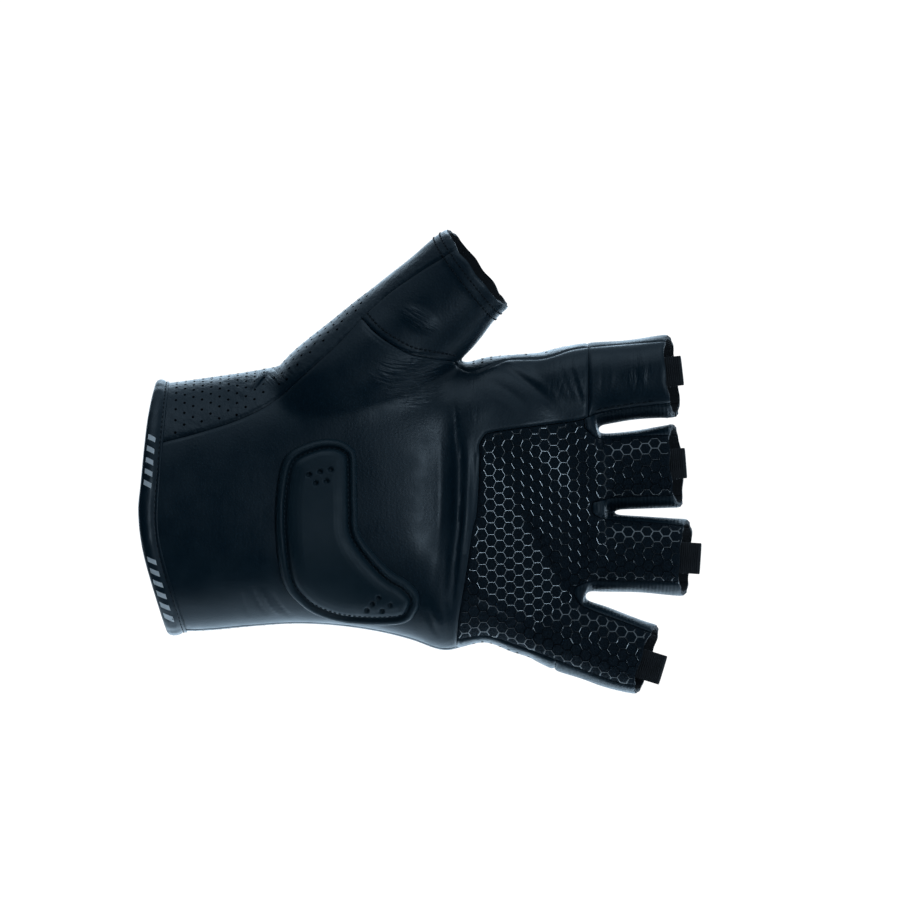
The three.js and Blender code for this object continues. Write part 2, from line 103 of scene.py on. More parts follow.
# %% [markdown]
# ## The measured form
# A glove in its worn form is made of tubes: a broad one from the cuff to the finger roots, one for
# the thumb and four short ones for the fingers. Each is measured at a few places only, and a smooth
# curve runs between them. Each section is a superellipse, which is an oval that can be made squarer.

# %% Sections of the broad tube
BROAD_COLUMNS = ("x", "top", "low", "palm", "back", "square")
BROAD_ROWS = [
    (-9, 37.4, -38.9, 21.5, 21.0, 2.2),
    (3, 38.5, -38.5, 21.5, 20.5, 2.2),
    (14, 40.0, -38.3, 21.5, 19.5, 2.3),
    (28, 42.0, -37.0, 21.5, 18.5, 2.4),
    (42, 44.5, -36.1, 21.0, 17.5, 2.5),
    (56, 46.0, -36.8, 20.0, 17.0, 2.6),
    (68, 46.5, -38.6, 19.6, 16.5, 2.6),
    (78, 46.2, -41.1, 18.8, 16.2, 2.6),
    (88, 45.0, -44.4, 17.5, 16.0, 2.7),
    (95, 44.8, -43.0, 16.8, 15.8, 2.7),
    (101, 46.4, -41.9, 16.2, 15.5, 2.8),
    (110, 47.2, -44.9, 15.2, 15.0, 2.8),
    (121, 47.8, -47.0, 13.8, 14.2, 2.8),
    (133, 48.6, -48.4, 12.2, 12.8, 2.8),
]
BROAD = dict(zip(BROAD_COLUMNS, np.array(BROAD_ROWS, float).T))

# Swellings and hollows of the palm: x and z of the middle, spread in x and in z, rise
RELIEF_ROWS = [
    (58, 31, 26, 13, 1.8),        # ball of the thumb
    (34, -18, 20, 13, 1.5),       # heel of the palm
    (88, 8, 20, 14, -0.5),        # hollow of the palm
    (88.6, -6, 3.2, 26, -0.35),   # upright fold, its valley
    (94.6, -2, 2.2, 24, 1.1),     # and its crest
    (86.5, -35, 4.5, 8, 2.0),     # roll of leather at the lower edge
    (94.5, 32, 5.0, 8, 0.8),      # ridge below the thumb's crotch
    (111, 19, 8, 7, 0.6),         # swelling at the middle finger's root
]

# Long hollows of the palm: middle line, width and rise
HOLLOWS = [
    ([(87.4, 24), (87.4, 12), (86.8, 0), (85.6, -8)], 5.0, -1.05),    # slope into the folds
    ([(122.5, 26), (124.2, 12), (127.0, -2.5), (129.0, -12)], 5.2, -0.85),  # before the fingers
]
# The crease across the fabric: a flat slope falls to its line, a steeper one rises behind it
CREASE = {
    "from": (103.0, 10.85), "to": (123.5, -26.35), "slope": 0.125, "starts": 98.6, "behind": 14.4,
    "fades": (-36.0, -27.0),
}

KNUCKLES = {"lead": 138.0, "z": 4.0, "bend": 0.0066, "from": 100.0, "to": 133.0}
WALL = 1.4
print("sections of the broad tube:", len(BROAD_ROWS))

# %% Sections of the thumb and fingers
LIMB_COLUMNS = ("x", "y", "z", "half", "palm", "back")
USUAL = {"slant": 0.2, "square": 2.3}   # the lean of a mouth and the squareness of a section
LIMBS = {
    "index": {
        "angle": 6.5,
        "rows": [
            (112.0, 0.5, 34.6, 11.2, 11.2, 11.2),
            (124.0, 0.3, 36.5, 12.7, 11.8, 11.8),
            (134.5, 0.0, 38.1, 12.9, 11.4, 11.6),
            (146.0, -0.6, 39.4, 12.3, 11.0, 11.2),
            (158.6, -1.2, 40.6, 12.9, 11.0, 11.2),
        ],
    },
    "middle": {
        "angle": 4.5,
        "rows": [
            (112.0, 1.5, 9.1, 11.6, 11.8, 11.8),
            (128.0, 1.3, 10.4, 12.0, 12.0, 12.0),
            (139.0, 1.0, 10.95, 11.8, 11.6, 11.8),
            (148.0, 0.4, 11.55, 12.1, 11.3, 11.4),
            (160.0, -0.4, 12.7, 12.9, 11.2, 11.4),
        ],
    },
    "ring": {
        "angle": -3.6,
        "rows": [
            (112.0, 1.0, -12.6, 11.4, 11.6, 11.6),
            (126.0, 0.8, -13.6, 11.8, 11.8, 11.8),
            (137.0, 0.4, -14.2, 12.0, 11.3, 11.5),
            (149.0, -0.4, -14.65, 11.75, 10.9, 11.1),
            (162.8, -1.2, -15.65, 11.95, 10.8, 11.0),
        ],
    },
    "little": {
        "angle": -17.0,
        "rows": [
            (110.0, -1.0, -34.4, 9.0, 10.0, 10.4),
            (124.0, -1.2, -38.7, 11.5, 10.6, 10.8),
            (134.0, -1.4, -41.8, 11.8, 10.2, 10.4),
            (142.0, -1.8, -44.8, 11.7, 9.9, 10.0),
            (150.6, -2.2, -47.1, 11.2, 9.8, 9.9),
        ],
    },
    "thumb": {
        "angle": 37.2, "slant": 0.12, "square": 2.25,
        "rows": [
            (36.0, -3.5, 25.0, 11.0, 13.0, 11.0),
            (48.8, -4.5, 34.7, 15.0, 17.5, 14.0),
            (63.4, -5.5, 43.6, 17.3, 17.5, 15.0),
            (76.8, -6.5, 54.0, 17.4, 15.5, 14.8),
            (87.3, -7.8, 63.2, 16.7, 14.0, 14.0),
            (98.3, -9.0, 73.8, 15.2, 13.0, 13.2),
        ],
    },
}
for name in LIMBS:
    form = LIMBS[name] = {**USUAL, **LIMBS[name]}
    turn = math.radians(form["angle"])
    form["along"] = np.array([math.cos(turn), 0, math.sin(turn)])
    form["across"] = np.array([-math.sin(turn), 0, math.cos(turn)])
    form["table"] = dict(zip(LIMB_COLUMNS, np.array(form["rows"], float).T))
    form["mouth"] = np.array(form["rows"][-1][:3], float)
print("limbs:", ", ".join(LIMBS))

# %% A smooth curve between the rows of a table
FAR = 99.0                        # stands for a distance that is too long to matter


def curve_value(knots, values, at):
    """The value at some places along a smooth curve through a table's rows (Catmull-Rom)."""
    last = len(knots) - 1
    i = np.clip(np.searchsorted(knots, at, side="right") - 1, 0, last - 1)
    t = np.clip((at - knots[i]) / (knots[i + 1] - knots[i]), 0, 1)
    a, b = values[np.maximum(i - 1, 0)], values[i]
    c, d = values[i + 1], values[np.minimum(i + 2, last)]
    return b + 0.5 * t * (c - a + t * (2 * a - 5 * b + 4 * c - d + t * (3 * (b - c) + d - a)))


def read(table, names, at):
    """Some columns of a table, each read at some places along it."""
    return [curve_value(table["x"], table[name], at) for name in names]


def eased(share):
    """A share from 0 to 1 with a soft start and a soft end."""
    return share**2 * (3 - 2 * share)


def unit(vectors):
    """Vectors scaled to a length of 1."""
    return vectors / np.maximum(np.linalg.norm(vectors, axis=-1), 1e-9)[..., None]


def full_turn(count):
    """Evenly spaced turns, once round."""
    return np.linspace(0, 2 * np.pi, count + 1)[:-1]


def closed(run):
    """A run of points that ends where it starts."""
    return np.concatenate([run, run[:1]])


def way_along(run):
    """How far along a run each of its points lies."""
    return np.concatenate([[0], np.cumsum(np.linalg.norm(np.diff(run, axis=0), axis=1))])


def smooth_run(run, step=1.6):
    """Points close together on a smooth curve through a run of points."""
    run = np.array(run, float)
    if len(run) < 3:
        return run
    length = way_along(run)
    at = np.linspace(0, length[-1], max(2, int(round(length[-1] / step))) + 1)
    return np.stack([curve_value(length, run[:, k], at) for k in range(run.shape[1])], 1)


print("curve tools ready")

# %% Distances from a line


def from_segment(x, z, one, two):
    """The share of a segment nearest to each place, and the way in x and z from there."""
    run_x, run_z = two - one
    share = np.clip(((x - one[0]) * run_x + (z - one[1]) * run_z) / (run_x**2 + run_z**2), 0, 1)
    return share, x - one[0] - share * run_x, z - one[1] - share * run_z


def line_distance(line, x, z, reach):
    """The distance from a smooth run of points, up to a reach, and the share along it."""
    low, high = line.min(0) - reach, line.max(0) + reach
    near = (x > low[0]) & (x < high[0]) & (z > low[1]) & (z < high[1])
    distance, share_along = np.full(x.shape, FAR), np.zeros(x.shape)
    if not near.any():
        return distance, share_along
    x, z = x[near], z[near]
    start = way_along(line)
    steps = np.diff(start)
    best = np.full(x.shape, np.inf)
    along = np.zeros(x.shape)
    for i, (one, two) in enumerate(zip(line[:-1], line[1:])):
        share, off_x, off_z = from_segment(x, z, one, two)
        gap = off_x**2 + off_z**2
        nearer = gap < best
        best = np.where(nearer, gap, best)
        along = np.where(nearer, start[i] + share * steps[i], along)
    distance[near] = np.sqrt(best)
    share_along[near] = along / start[-1]
    return distance, share_along


print("line tools ready")

# %% Rings of points round each tube


def oval(turns, square):
    """A unit superellipse: how far across and how far to the side each turn of it lies."""
    cosine, sine = np.cos(turns), np.sin(turns)
    reach = (np.abs(cosine) ** square + np.abs(sine) ** square) ** (-1 / square)
    return reach * cosine, reach * sine


smooth_hollows = [(smooth_run(line, step=4.0), width, rise) for line, width, rise in HOLLOWS]


def crease_depth(x, z):
    """How deep the fabric's crease is at a place."""
    (ax, az), (bx, bz) = CREASE["from"], CREASE["to"]
    length = math.hypot(bx - ax, bz - az)
    behind = ((x - ax) * (az - bz) + (z - az) * (bx - ax)) / length
    back_up = np.clip(1 - np.maximum(behind, 0) / CREASE["behind"], 0, 1)
    low, high = CREASE["fades"]
    fade = eased(np.clip((z - low) / (high - low), 0, 1))
    return CREASE["slope"] * np.maximum(x - CREASE["starts"], 0) * back_up * fade


def relief(x, z):
    """How far the palm rises or sinks at a place."""
    rise = 0.0
    for x0, z0, span_x, span_z, height in RELIEF_ROWS:
        rise = rise + height * np.exp(-(((x - x0) / span_x) ** 2) - ((z - z0) / span_z) ** 2)
    x = np.broadcast_to(x, z.shape)
    for line, width, height in smooth_hollows:
        gap, _ = line_distance(line, x, z, 3 * width)
        rise = rise + height * np.exp(-((gap / width) ** 2))
    return rise - crease_depth(x, z)


def broad_rings(places, turns, grow=0.0):
    """Rings of points round the broad tube, its surface moved outwards by grow."""
    places = np.atleast_1d(np.asarray(places, float))[:, None]
    top, low, palm, back, square = read(BROAD, BROAD_COLUMNS[1:], places)
    across, side = oval(turns[None, :], square)
    z = (top + low) / 2 + ((top - low) / 2 + grow) * across
    depth = np.where(side < 0, palm + grow + relief(places, z), back + grow)
    lead = np.clip((places - KNUCKLES["from"]) / (KNUCKLES["to"] - KNUCKLES["from"]), 0, 1)
    arc = KNUCKLES["lead"] - KNUCKLES["bend"] * (z - KNUCKLES["z"]) ** 2 - KNUCKLES["to"]
    return np.stack([places + lead**2 * arc, depth * side, z], -1)


def limb_rings(form, places, turns, grow=0.0, past=0.0):
    """Rings round a limb at some places of its middle line, the last one moved on by past."""
    places = np.atleast_1d(np.asarray(places, float))[:, None]
    y, z, half, palm, back = read(form["table"], LIMB_COLUMNS[1:], places)
    across, side = oval(turns[None, :], form["square"])
    depth = side * (np.where(side < 0, palm, back) + grow)
    points = np.stack([places + 0 * side, y + depth, z + 0 * side], -1)
    points += ((half + grow) * across)[..., None] * form["across"]
    points[-1] += past * form["along"]
    return points


ball = broad_rings([60], np.array([-1.9]))[0, 0]
print("palm depth at the thumb's ball:", round(float(ball[1]), 2))

# %% [markdown]
# ## One surface for the whole glove
# The six tubes overlap. A voxel remesh finds the one outer surface round all of them, and a few
# rounds of relaxing turn the sharp lines where two tubes meet into the soft crotches of a worn
# glove. Booleans would leave those lines hard, and a sculpted mesh could not be changed by number.

# %% Closed tubes and their union
VOXEL = 0.82
BROAD_TURNS = full_turn(240)
LIMB_TURNS = full_turn(96)
LIMB_RINGS = 24
FINE_FROM = 80.0                  # the broad tube's rings lie closer together from here on
PAST_MOUTH = 4.0                  # how far each limb runs on past its mouth
RELAX_ROUNDS = 9
REGAIN = 0.1                      # what the relaxing takes off a limb's radius
SOFT = {"x": 70.0, "z": 26.0, "span_x": 25.0, "span_z": 12.0, "front": -5.0, "rounds": 110}


def closed_tube(rings):
    """The faces of a tube of rings, each end closed by a ladder from side to side."""
    count, around = rings.shape[:2]
    faces = []
    for r in range(count - 1):
        for k in range(around):
            a, b = r * around + k, r * around + (k + 1) % around
            faces.append((a, a + around, b + around, b))
    end = (count - 1) * around
    for k in range(around // 2):
        a, b, c, d = k, k + 1, around - k - 1, (around - k) % around
        faces.append((a, b, c) if d == a else (a, b, c, d))
        faces.append((end + c, end + b, end + a) if d == a else (end + d, end + c, end + b, end + a))
    return [face for face in faces if len(set(face)) == len(face)]


def union(tubes, voxel):
    """The corners and triangles of one surface round several overlapping tubes."""
    points, faces = [], []
    for rings in tubes:
        start = sum(len(p) for p in points)
        points.append(rings.reshape(-1, 3))
        faces += [tuple(start + i for i in face) for face in closed_tube(rings)]
    mesh = bpy.data.meshes.new("tubes")
    mesh.from_pydata(np.concatenate(points).tolist(), [], faces)
    obj = placed("tubes", mesh)
    remesh = obj.modifiers.new("union", "REMESH")
    remesh.mode = "VOXEL"
    remesh.voxel_size = voxel
    evaluated = obj.evaluated_get(bpy.context.evaluated_depsgraph_get())
    result = evaluated.to_mesh()
    result.calc_loop_triangles()
    places = np.zeros(len(result.vertices) * 3, np.float32)
    result.vertices.foreach_get("co", places)
    triangles = np.zeros(len(result.loop_triangles) * 3, np.int32)
    result.loop_triangles.foreach_get("vertices", triangles)
    evaluated.to_mesh_clear()
    bpy.data.objects.remove(obj)
    bpy.data.meshes.remove(mesh)
    return places.reshape(-1, 3).astype(float), triangles.reshape(-1, 3)


print("tube tools ready")

# %% Edges, relaxing and outward directions


def all_sides(faces):
    """The three sides of every triangle, each in its triangle's direction."""
    return np.concatenate([faces[:, [0, 1]], faces[:, [1, 2]], faces[:, [2, 0]]])


def edge_list(faces):
    """Every edge of some triangles once, its lower corner first."""
    return np.unique(np.sort(all_sides(faces), axis=1), axis=0)


def relax(points, faces, rounds, strength=0.5):
    """Moves each corner towards the middle of its neighbours, a few times over."""
    a, b = edge_list(faces).T
    count = len(points)
    neighbours = np.bincount(a, minlength=count) + np.bincount(b, minlength=count)
    for _ in range(rounds):
        total = np.empty_like(points)
        for axis in range(points.shape[1]):
            column = points[:, axis]
            total[:, axis] = np.bincount(a, column[b], count) + np.bincount(b, column[a], count)
        points = points + strength * (total / neighbours[:, None] - points)
    return points


def corner_normals(points, faces):
    """The outward direction at each corner."""
    a, b, c = (points[faces[:, k]] for k in range(3))
    face_normal = np.cross(b - a, c - a)
    total = np.zeros_like(points)
    for axis in range(3):
        for k in range(3):
            total[:, axis] += np.bincount(faces[:, k], face_normal[:, axis], len(points))
    return unit(total)


print("surface tools ready")

# %% The surface of the whole glove
coarse = np.arange(BROAD["x"][0], FINE_FROM, 2.0)
fine = np.arange(FINE_FROM, BROAD["x"][-1] + 0.1, 1.0)
tubes = [broad_rings(np.concatenate([coarse, fine]), BROAD_TURNS, REGAIN / 2)]
for form in LIMBS.values():
    knots = form["table"]["x"]
    places = np.append(np.linspace(knots[0], knots[-1], LIMB_RINGS), knots[-1])
    tubes.append(limb_rings(form, places, LIMB_TURNS, REGAIN, PAST_MOUTH))
points, faces = union(tubes, VOXEL)
points = relax(points, faces, RELAX_ROUNDS)
# The ball of the thumb runs into the palm more softly than the tubes meet
spread = ((points - (SOFT["x"], 0, SOFT["z"])) / (SOFT["span_x"], 1e9, SOFT["span_z"])) ** 2
amount = np.exp(-spread.sum(1)) * (points[:, 1] < SOFT["front"])
points = points + amount[:, None] * (relax(points, faces, SOFT["rounds"]) - points)
normals = corner_normals(points, faces)
if (normals * (points - points.mean(0))).sum() < 0:
    faces = faces[:, ::-1]
    normals = -normals
print("surface:", len(points), "corners,", len(faces), "triangles")

# %% [markdown]
# ## Cutting along lines
# A pattern cutter draws a line on the leather and cuts along it. Here a line is where a number
# that every corner carries, such as its distance from a seam, passes a level. Each triangle that
# the line crosses is split there, and a corner that lies close to the line slides onto it, so that
# no slivers are left. Everything a corner carries is carried along to the new corners.

# %% Sheets of triangles that carry values
SLIDE = 0.14                      # a corner this near to the line, as a share of the edge, moves


def between(one, two, share):
    """Values between two others, for each of several corners."""
    share = share.reshape((-1,) + (1,) * (one.ndim - 1))
    return one * (1 - share) + two * share


def crossed(edges, gap):
    """The ends of the edges on which a value changes sign, and the share along where it does."""
    a, b = edges[gap[edges[:, 0]] * gap[edges[:, 1]] < 0].T
    return a, b, gap[a] / (gap[a] - gap[b])


def from_corner(faces, first):
    """The three corners of each triangle in order, starting with one of them."""
    return np.take_along_axis(faces, (first[:, None] + np.arange(3)) % 3, 1).T


def split(sheet, name, level):
    """Splits a sheet's triangles where the value called name passes a level."""
    gap = sheet[name] - level
    edges = edge_list(sheet["faces"])
    a, b, share = crossed(edges, gap)
    near_a, near_b = share < SLIDE, share > 1 - SLIDE
    movers = np.concatenate([a[near_a], b[near_b]])
    others = np.concatenate([b[near_a], a[near_b]])
    shares = np.concatenate([share[near_a], 1 - share[near_b]])
    movers, first = np.unique(movers, return_index=True)
    others, shares = others[first], shares[first]
    values = {key: value for key, value in sheet.items() if key != "faces"}
    for value in values.values():
        value[movers] = between(value[movers], value[others], shares)
    gap[movers] = 0.0
    a, b, share = crossed(edges, gap)
    count = len(gap)
    for key, value in values.items():
        values[key] = np.concatenate([value, between(value[a], value[b], share)])
    keys = a.astype(np.int64) * count + b

    def middle(one, two):
        """The number of the new corner on the edge between two old ones."""
        low, high = np.minimum(one, two), np.maximum(one, two)
        return count + np.searchsorted(keys, low.astype(np.int64) * count + high)

    faces = sheet["faces"]
    signs = np.sign(gap)[faces]
    cut = signs * np.roll(signs, -1, axis=1) < 0
    once, twice = cut.sum(1) == 1, cut.sum(1) == 2
    result = [faces[~(once | twice)]]
    both = cut[twice] & np.roll(cut[twice], 1, axis=1)
    p, q, r = from_corner(faces[twice], np.argmax(both, axis=1))
    pq, pr = middle(p, q), middle(p, r)
    result += [np.stack(t, 1) for t in ((p, pq, pr), (pq, q, r), (pq, r, pr))]
    p, q, r = from_corner(faces[once], (np.argmax(cut[once], axis=1) + 2) % 3)
    qr = middle(q, r)
    result += [np.stack(t, 1) for t in ((p, q, qr), (p, qr, r))]
    return {**values, "faces": np.concatenate(result)}


def compact(sheet, kept):
    """The sheet with only some of its triangles, and only the corners that they use."""
    faces = sheet["faces"][kept]
    used, numbers = np.unique(faces, return_inverse=True)
    smaller = {key: value[used] for key, value in sheet.items() if key != "faces"}
    return {**smaller, "faces": numbers.reshape(-1, 3)}


def above(sheet, name, level=0.0):
    """The part of a sheet where the value called name is above a level, cut along that line."""
    cut = split(sheet, name, level)
    return compact(cut, (cut[name][cut["faces"]] - level).sum(1) > 0)


def open_edges(faces):
    """The edges at a sheet's border, each in the direction of its triangle."""
    pairs = all_sides(faces)
    ordered = np.sort(pairs, axis=1)
    _, inverse, count = np.unique(ordered, axis=0, return_inverse=True, return_counts=True)
    return pairs[count[inverse.reshape(-1)] == 1]


print("cutting tools ready")

# %% [markdown]
# ## Seams
# Each seam is a short run of measured points, seen from the palm side, and a smooth curve is drawn
# through them. A panel is the closed outline of several runs. The distance of every corner from
# each outline is worked out once, and it is corrected for the slope of the surface, so that a seam
# has the same width where the leather turns away.

# %% Seam lines
SEAMS = {
    "cuff_edge": [
        (3.4, -42), (1.0, -33.5), (-4.2, -14), (-5.7, -1.5), (-5.0, 8), (-3.0, 28.4), (-0.4, 42),
    ],
    "cuff_stitch": [
        (8.6, -42), (7.9, -37), (4.5, -25.5), (1.6, -15.2), (0, -4), (1.0, 14), (2.2, 28.4), (2.9, 42),
    ],
    "thumb_edge": [
        (-9, 17.6), (2.3, 20.4), (12.2, 23), (25.1, 27.2), (35.3, 32.6), (46.2, 42), (56.2, 51.3),
        (62.6, 58.4),
    ],
    "thumb_upper": [(62.6, 58.4), (71.3, 66.2), (81.6, 73.3), (89.6, 78.1), (104, 88)],
    "thumb_base": [(62.6, 58.4), (66.3, 54.3), (71.3, 50.5), (77.5, 47.2), (83.7, 45.8), (91.5, 44.5)],
    "thumb_web": [(91.5, 44.5), (95.2, 46.2), (98.9, 49.4), (101.0, 53.2), (106, 57.5), (114, 64)],
    "crotch": [(91.5, 44.5), (94.2, 42.3), (98.6, 41.7)],
    "index_upper": [
        (98.6, 41.7), (104.4, 44.3), (108.5, 45.6), (118.8, 46), (127.1, 48.6), (132.7, 49.5),
    ],
    "index_upper_tip": [(132.7, 49.5), (139.5, 50.1), (166, 52.2)],
    "index_lower": [(166, 32.9), (149.2, 30.8), (139.3, 29.3), (132.7, 28.0)],
    "grip_top": [(131.3, 27.4), (127.1, 26.4), (114.7, 24.9), (102.3, 23), (100.2, 21.6), (99, 19.1)],
    "grip_left": [
        (99, 19.1), (98.9, 10), (98.3, -1.6), (97.0, -7.1), (96.1, -13.3), (94.9, -20.8), (93.6, -28.8),
        (92.7, -35), (92.1, -42.5), (92.2, -52),
    ],
    "middle_upper": [(131.5, 24.6), (134.2, 22.2), (136.9, 21.4), (146.3, 22.1), (166, 22.9)],
    "middle_lower": [(166, 3.3), (149.2, 2.9), (137.4, 2.1), (133.6, 1.2)],
    "ring_upper": [(133.8, -1.6), (136.9, -3.3), (149.2, -4.2), (168, -6.0)],
    "ring_lower": [(168, -23.3), (145.7, -23.4), (132.8, -23.4), (128.4, -25.2)],
    "little_upper": [(128.2, -27), (130.2, -29.8), (135.4, -32.2), (143.1, -35), (160, -41.4)],
    "little_lower": [
        (156, -59.6), (147, -55.8), (140.5, -54.2), (130.2, -50.4), (119.9, -46.6), (110.6, -43.2),
        (101, -40.2), (92.2, -41.4),
    ],
}


def chain(*runs):
    """One outline from single points and seams by name, a minus sign where one runs backwards."""
    same = 0.02
    parts = []
    for run in runs:
        if isinstance(run, str):
            smooth = smooth_run(SEAMS[run.strip("-")])
            parts.append(smooth[::-1] if run[0] == "-" else smooth)
        else:
            parts.append(np.array([run], float))
    points = np.concatenate(parts)
    apart = np.linalg.norm(points - np.roll(points, 1, axis=0), axis=1)
    return points[apart > same]


print("seams:", len(SEAMS))

# %% Panel outlines
PALM_SIDE = {
    # the outline seen from in front, and the depth behind which the panel ends
    "palm_panel": (chain(
        "thumb_edge", "thumb_base", "crotch", "index_upper", (132.7, 28.0), "grip_top", "grip_left",
        (-9, -52),
    ), -4.5),
    "thumb_front": (chain("thumb_upper", (118, 80), "-thumb_web", "-thumb_base"), -6.0),
    "index_face": (chain("index_upper_tip", "index_lower"), 0.0),
    "grip_panel": (chain(
        "-grip_left", "-grip_top", "middle_upper", "middle_lower", "ring_upper", "ring_lower",
        "little_upper", "little_lower",
    ), -2.0),
}
SIDE_STRIPS = {
    "fourchette_index_middle": chain(SEAMS["grip_top"][0], "-index_lower", "-middle_upper"),
    "fourchette_middle_ring": chain("-middle_lower", "-ring_upper"),
    "fourchette_ring_little": chain("-ring_lower", "-little_upper"),
}
SLEEVE_BACKS = {
    "index_back": [(132.7, 26.5), (132.7, 62), (170, 62), (170, 26.5)],
    "middle_back": [(133.2, 24.4), (170, 24.4), (170, -1), (133.2, -1)],
    "ring_back": [(131.6, -0.7), (172, -0.7), (172, -25.6), (130.2, -25.6)],
    "little_back": [(127.0, -27.5), (165, -32), (165, -70), (118.0, -70)],
}


print("outlines:", len(PALM_SIDE) + len(SIDE_STRIPS) + len(SLEEVE_BACKS))

# %% Distances inside an outline


def outline_distance(outline, x, z):
    """The distance inwards from an outline, and the direction in which it grows."""
    best = np.full(x.shape, np.inf)
    off = np.zeros(x.shape + (2,))
    inside = np.zeros(x.shape, bool)
    for one, two in zip(outline, np.roll(outline, -1, axis=0)):
        _, *ways = from_segment(x, z, one, two)
        gap = ways[0]**2 + ways[1]**2
        nearer = gap < best
        best = np.where(nearer, gap, best)
        for axis, way in enumerate(ways):
            off[..., axis] = np.where(nearer, way, off[..., axis])
        if one[1] != two[1]:
            run_x, run_z = two - one
            crossing = run_x * (z - one[1]) / run_z + one[0]
            inside ^= ((one[1] > z) != (two[1] > z)) & (x < crossing)
    length = np.sqrt(best)
    sign = np.where(inside, 1.0, -1.0)
    return sign * length, off * (sign / np.maximum(length, 1e-9))[..., None]


def level_share(lean):
    """How long a step along the surface looks from in front, where it leans towards there."""
    return np.sqrt(np.maximum(1 - lean**2, 0.1))


def over_slope(value, gradient, normal):
    """A distance measured from in front, turned into one along the surface."""
    return value / level_share((gradient * normal).sum(1))


def outline_value(outline, points, normals):
    """How far inside an outline each point of a surface lies, along that surface."""
    flat, gradient = outline_distance(np.array(outline, float), points[:, 0], points[:, 2])
    gradient = np.stack([gradient[:, 0], 0 * flat, gradient[:, 1]], 1)
    return over_slope(flat, gradient, normals)


print("outline tools ready")

# %% The flat facet of the fabric, and how far inside each panel every corner lies
# The fabric is stretched flat between its crease and the palm, so it is moved onto one plane there
FACET = {
    "outline": [(100.6, 15.5), (99.4, -26.5), (116.5, -36.0), (125.6, -27.5)],
    "lean": (12.5, -2.0), "fades": 3.5, "facing": -0.5,
}
inside, _ = outline_distance(np.array(FACET["outline"]), points[:, 0], points[:, 2])
amount = np.clip(1 + inside / FACET["fades"], 0, 1) * (normals[:, 1] < FACET["facing"])
slope_x, slope_z = np.tan(np.radians(FACET["lean"]))
plane = slope_x * points[:, 0] + slope_z * points[:, 2]
level = (points[:, 1] - plane)[(inside > 0) & (amount > 0)].mean()
moved = eased(amount) * (plane + level - points[:, 1])
print("the facet moves by, mm:", round(float(moved.min()), 2), round(float(moved.max()), 2))
points[:, 1] += moved
normals = corner_normals(points, faces)

values = {}
AHEAD = np.array([0.0, -1.0, 0.0])
for name, (outline, reach) in PALM_SIDE.items():
    depth = over_slope(reach - points[:, 1], AHEAD, normals)
    values[name] = np.minimum(outline_value(outline, points, normals), depth)
for name, outline in SIDE_STRIPS.items():
    values[name] = outline_value(outline, points, normals)
rest = -np.max(list(values.values()), axis=0)
for name, outline in SLEEVE_BACKS.items():
    values[name] = np.minimum(outline_value(outline, points, normals), rest)
values["back_panel"] = np.minimum(rest, -np.max([values[n] for n in SLEEVE_BACKS], axis=0))
print("panels:", len(values))

# %% [markdown]
# ## Openings
# The tubes run on past their mouths. The distance to each mouth is one more value: it leans, as the
# mouths of a worn glove do, and it wavers a little, because cut leather is never quite straight.
# The wrist is cut along a curve that the binding will cover.

# %% Mouths of the thumb, fingers and wrist
WAVER = {"sideways": (0.22, 0.7), "deep": (0.12, 1.7)}   # height of the waves, and waves by mm
MOUTH_REACH = 22.0                # how far from its mouth a limb is measured
CUFF_INSET = 1.4                  # from the binding's fold to the leather's raw edge
RIM_LEVELS = (0.45, 1.1)          # how far from a mouth its rim is split, so that it can be rounded
# The mouths of the index and middle fingers touch, so what joins them there is cut away
BRIDGE = {"x": 157.6, "z": 26.7, "half": 1.0}
BESIDE = {"mouth": 1.0, "pattern": 3.0}   # how far beside a limb its mouth and pattern count


def mouth_distance(form, points):
    """How far inside its mouth a point of a limb lies, and far away for points elsewhere."""
    offset = points - form["mouth"]
    forward, sideways = offset @ form["along"], offset @ form["across"]
    (height, pace), (deep_height, deep_pace) = WAVER["sideways"], WAVER["deep"]
    waver = height * np.sin(pace * sideways + form["angle"])
    waver = waver + deep_height * np.sin(deep_pace * offset[:, 1])
    inside = form["slant"] * offset[:, 1] - forward + waver
    near = np.abs(sideways) < form["table"]["half"][-1] + BESIDE["mouth"]
    return np.where(near & (forward > -MOUTH_REACH), inside, FAR)


def cuff_x(name, z):
    """Where a seam that runs round the wrist lies at a height."""
    run = smooth_run(SEAMS[name])
    return np.interp(z, run[:, 1], run[:, 0])


mouth = np.min([mouth_distance(form, points) for form in LIMBS.values()], axis=0)
cuff = points[:, 0] - cuff_x("cuff_edge", points[:, 2]) - CUFF_INSET
bridge = (points[:, 0] > BRIDGE["x"]) & (np.abs(points[:, 2] - BRIDGE["z"]) < BRIDGE["half"])
mouth = np.where(bridge, -1.0, mouth)
sheet = {"faces": faces, "place": points, "normal": normals, "mouth": mouth, "cuff": cuff, **values}
sheet = above(above(sheet, "cuff"), "mouth")
for level in RIM_LEVELS:
    sheet = split(sheet, "mouth", level)
print("open glove:", len(sheet["faces"]), "triangles")

# %% [markdown]
# ## Folds and creases
# Worn leather folds where the glove bends. Each fold is a short line on the palm side with a width
# and a rise: a valley where the rise is below nothing, a ridge where it is above. Narrow ones are
# finer than the surface's triangles, so the surface is first split along both sides of their lines.

